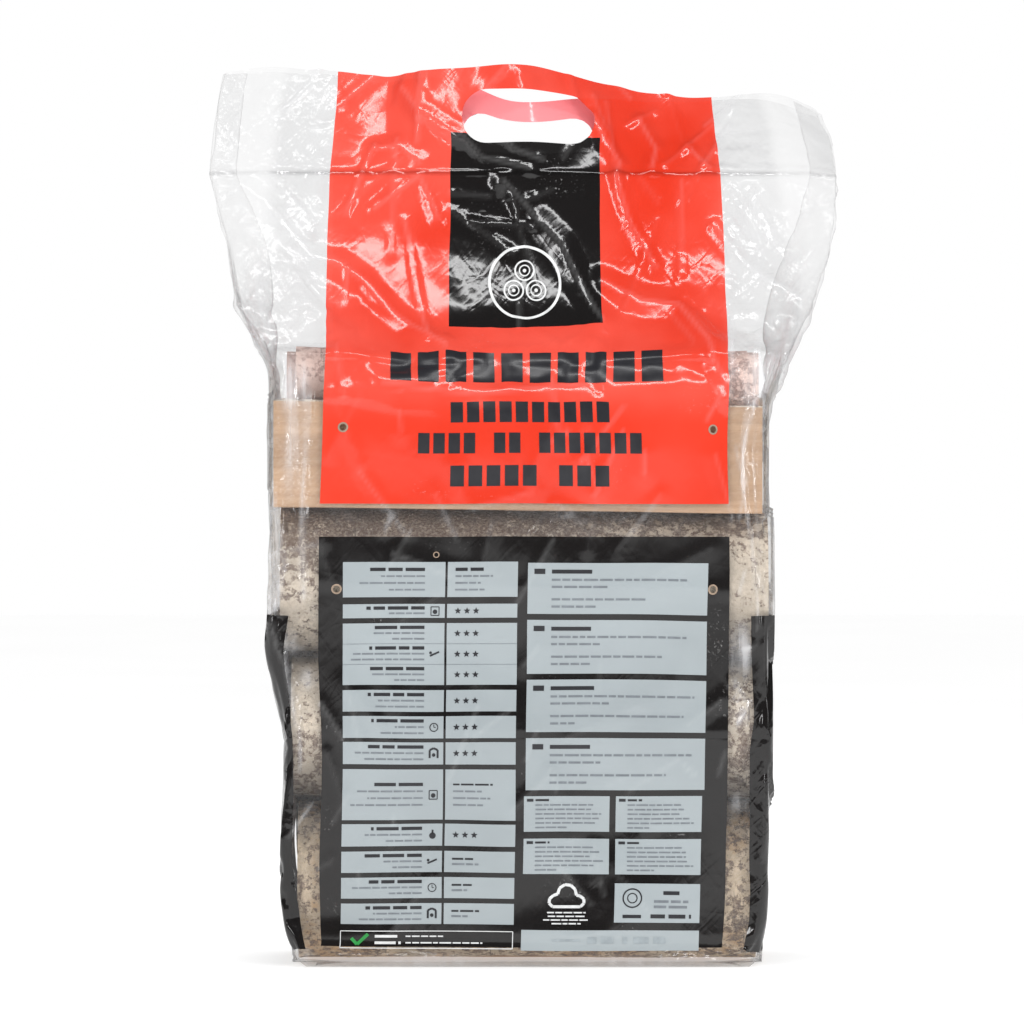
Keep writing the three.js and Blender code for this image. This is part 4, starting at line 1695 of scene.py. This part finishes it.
def area_light(name, place, target, size, power):
    """A softbox of (width, height) metres at a place, turned to its target."""
    light = bpy.data.lights.new(name, "AREA")
    light.shape = "RECTANGLE"
    light.size, light.size_y = size
    light.energy = power
    made = bpy.data.objects.new(name, light)
    bpy.context.scene.collection.objects.link(made)
    made.location = place
    made.rotation_euler = (Vector(target) - Vector(place)).to_track_quat("-Z", "Y").to_euler()
    return made


class BIRCH_OT_stage(bpy.types.Operator):
    """White floor, soft studio lights and the camera in front of the bag"""

    bl_idname = "birch.stage"
    bl_label = "Stage"

    def execute(self, context):
        scene = context.scene
        scene.view_settings.view_transform = "Standard"
        floor = mesh_object(
            "floor", [(-6, -6, 0), (6, -6, 0), (6, 6, 0), (-6, 6, 0)], [[0, 1, 2, 3]], False
        )
        material, nodes, shader, where = new_material("white_floor", 0.9)
        tone = nodes.ramp(nodes.noise(where, 3.0, 2.0), 0.2, 0.8)
        nodes.link(nodes.mix(tone, (0.76, 0.76, 0.76), (0.78, 0.78, 0.78)), shader["Base Color"])
        shader["Emission Color"].default_value = (1, 1, 1, 1)
        shader["Emission Strength"].default_value = 0.40
        floor.data.materials.append(material)
        world = bpy.data.worlds.new("studio")
        scene.world = world
        world.use_nodes = True
        nodes = Nodes(world.node_tree)
        surround = world.node_tree.nodes["Background"]
        path = nodes.add("ShaderNodeLightPath").outputs
        lit = nodes.plus(0.82, nodes.times(path["Is Camera Ray"], 0.18))
        dim = nodes.times(path["Is Glossy Ray"], -0.77)
        surround.inputs["Color"].default_value = (1, 1, 1, 1)
        nodes.link(nodes.plus(lit, dim), surround.inputs["Strength"])
        middle = (0, 0, 0.30)
        area_light("softbox_left", (-1.4, -2.2, 1.2), middle, (0.20, 1.3), 15.5)
        area_light("softbox_right", (1.6, -2.1, 0.8), middle, (0.16, 1.3), 15)
        area_light("softbox_top", (0.1, -1.3, 2.1), middle, (1.2, 0.20), 12)
        area_light("softbox_back", (0.6, 2.2, 1.4), middle, (1.4, 1.4), 10)
        camera = bpy.data.objects.new("camera", bpy.data.cameras.new("camera"))
        scene.collection.objects.link(camera)
        scene.camera = camera
        distance, tilt, seen_width = 6.0, math.radians(1.5), 0.6656
        camera.data.lens = camera.data.sensor_width * distance / seen_width
        camera.data.clip_end = 60
        aim = Vector((-0.0068, 0, 0.291))
        camera.location = aim + distance * Vector((0, -math.cos(tilt), math.sin(tilt)))
        camera.rotation_euler = (aim - camera.location).to_track_quat("-Z", "Y").to_euler()
        return {"FINISHED"}


class BIRCH_PT_panel(bpy.types.Panel):
    """Lists the operators that build the bag"""

    bl_label = "Bagged firewood"
    bl_idname = "BIRCH_PT_panel"
    bl_space_type = "VIEW_3D"
    bl_region_type = "UI"
    bl_category = "Firewood"

    def draw(self, context):
        for operator in OPERATORS:
            self.layout.operator(operator.bl_idname)
        for settings in (context.scene.birch_film, context.scene.birch_wood):
            for key in settings.__annotations__:
                self.layout.prop(settings, key)


OPERATORS = (
    BIRCH_OT_split_logs, BIRCH_OT_round_logs, BIRCH_OT_sticks, BIRCH_OT_film_bag,
    BIRCH_OT_print_marks, BIRCH_OT_stage,
)
CLASSES = (FilmSettings, WoodSettings, *OPERATORS, BIRCH_PT_panel)


def register():
    for cls in CLASSES:
        bpy.utils.register_class(cls)
    bpy.types.Scene.birch_film = PointerProperty(type=FilmSettings)
    bpy.types.Scene.birch_wood = PointerProperty(type=WoodSettings)


def unregister():
    del bpy.types.Scene.birch_film
    del bpy.types.Scene.birch_wood
    for cls in reversed(CLASSES):
        bpy.utils.unregister_class(cls)


def main():
    register()
    bpy.ops.birch.stage()
    bpy.ops.birch.split_logs()
    bpy.ops.birch.round_logs()
    bpy.ops.birch.sticks()
    bpy.ops.birch.film_bag()
    bpy.ops.birch.print_marks()


if __name__ == "__main__":
    main()
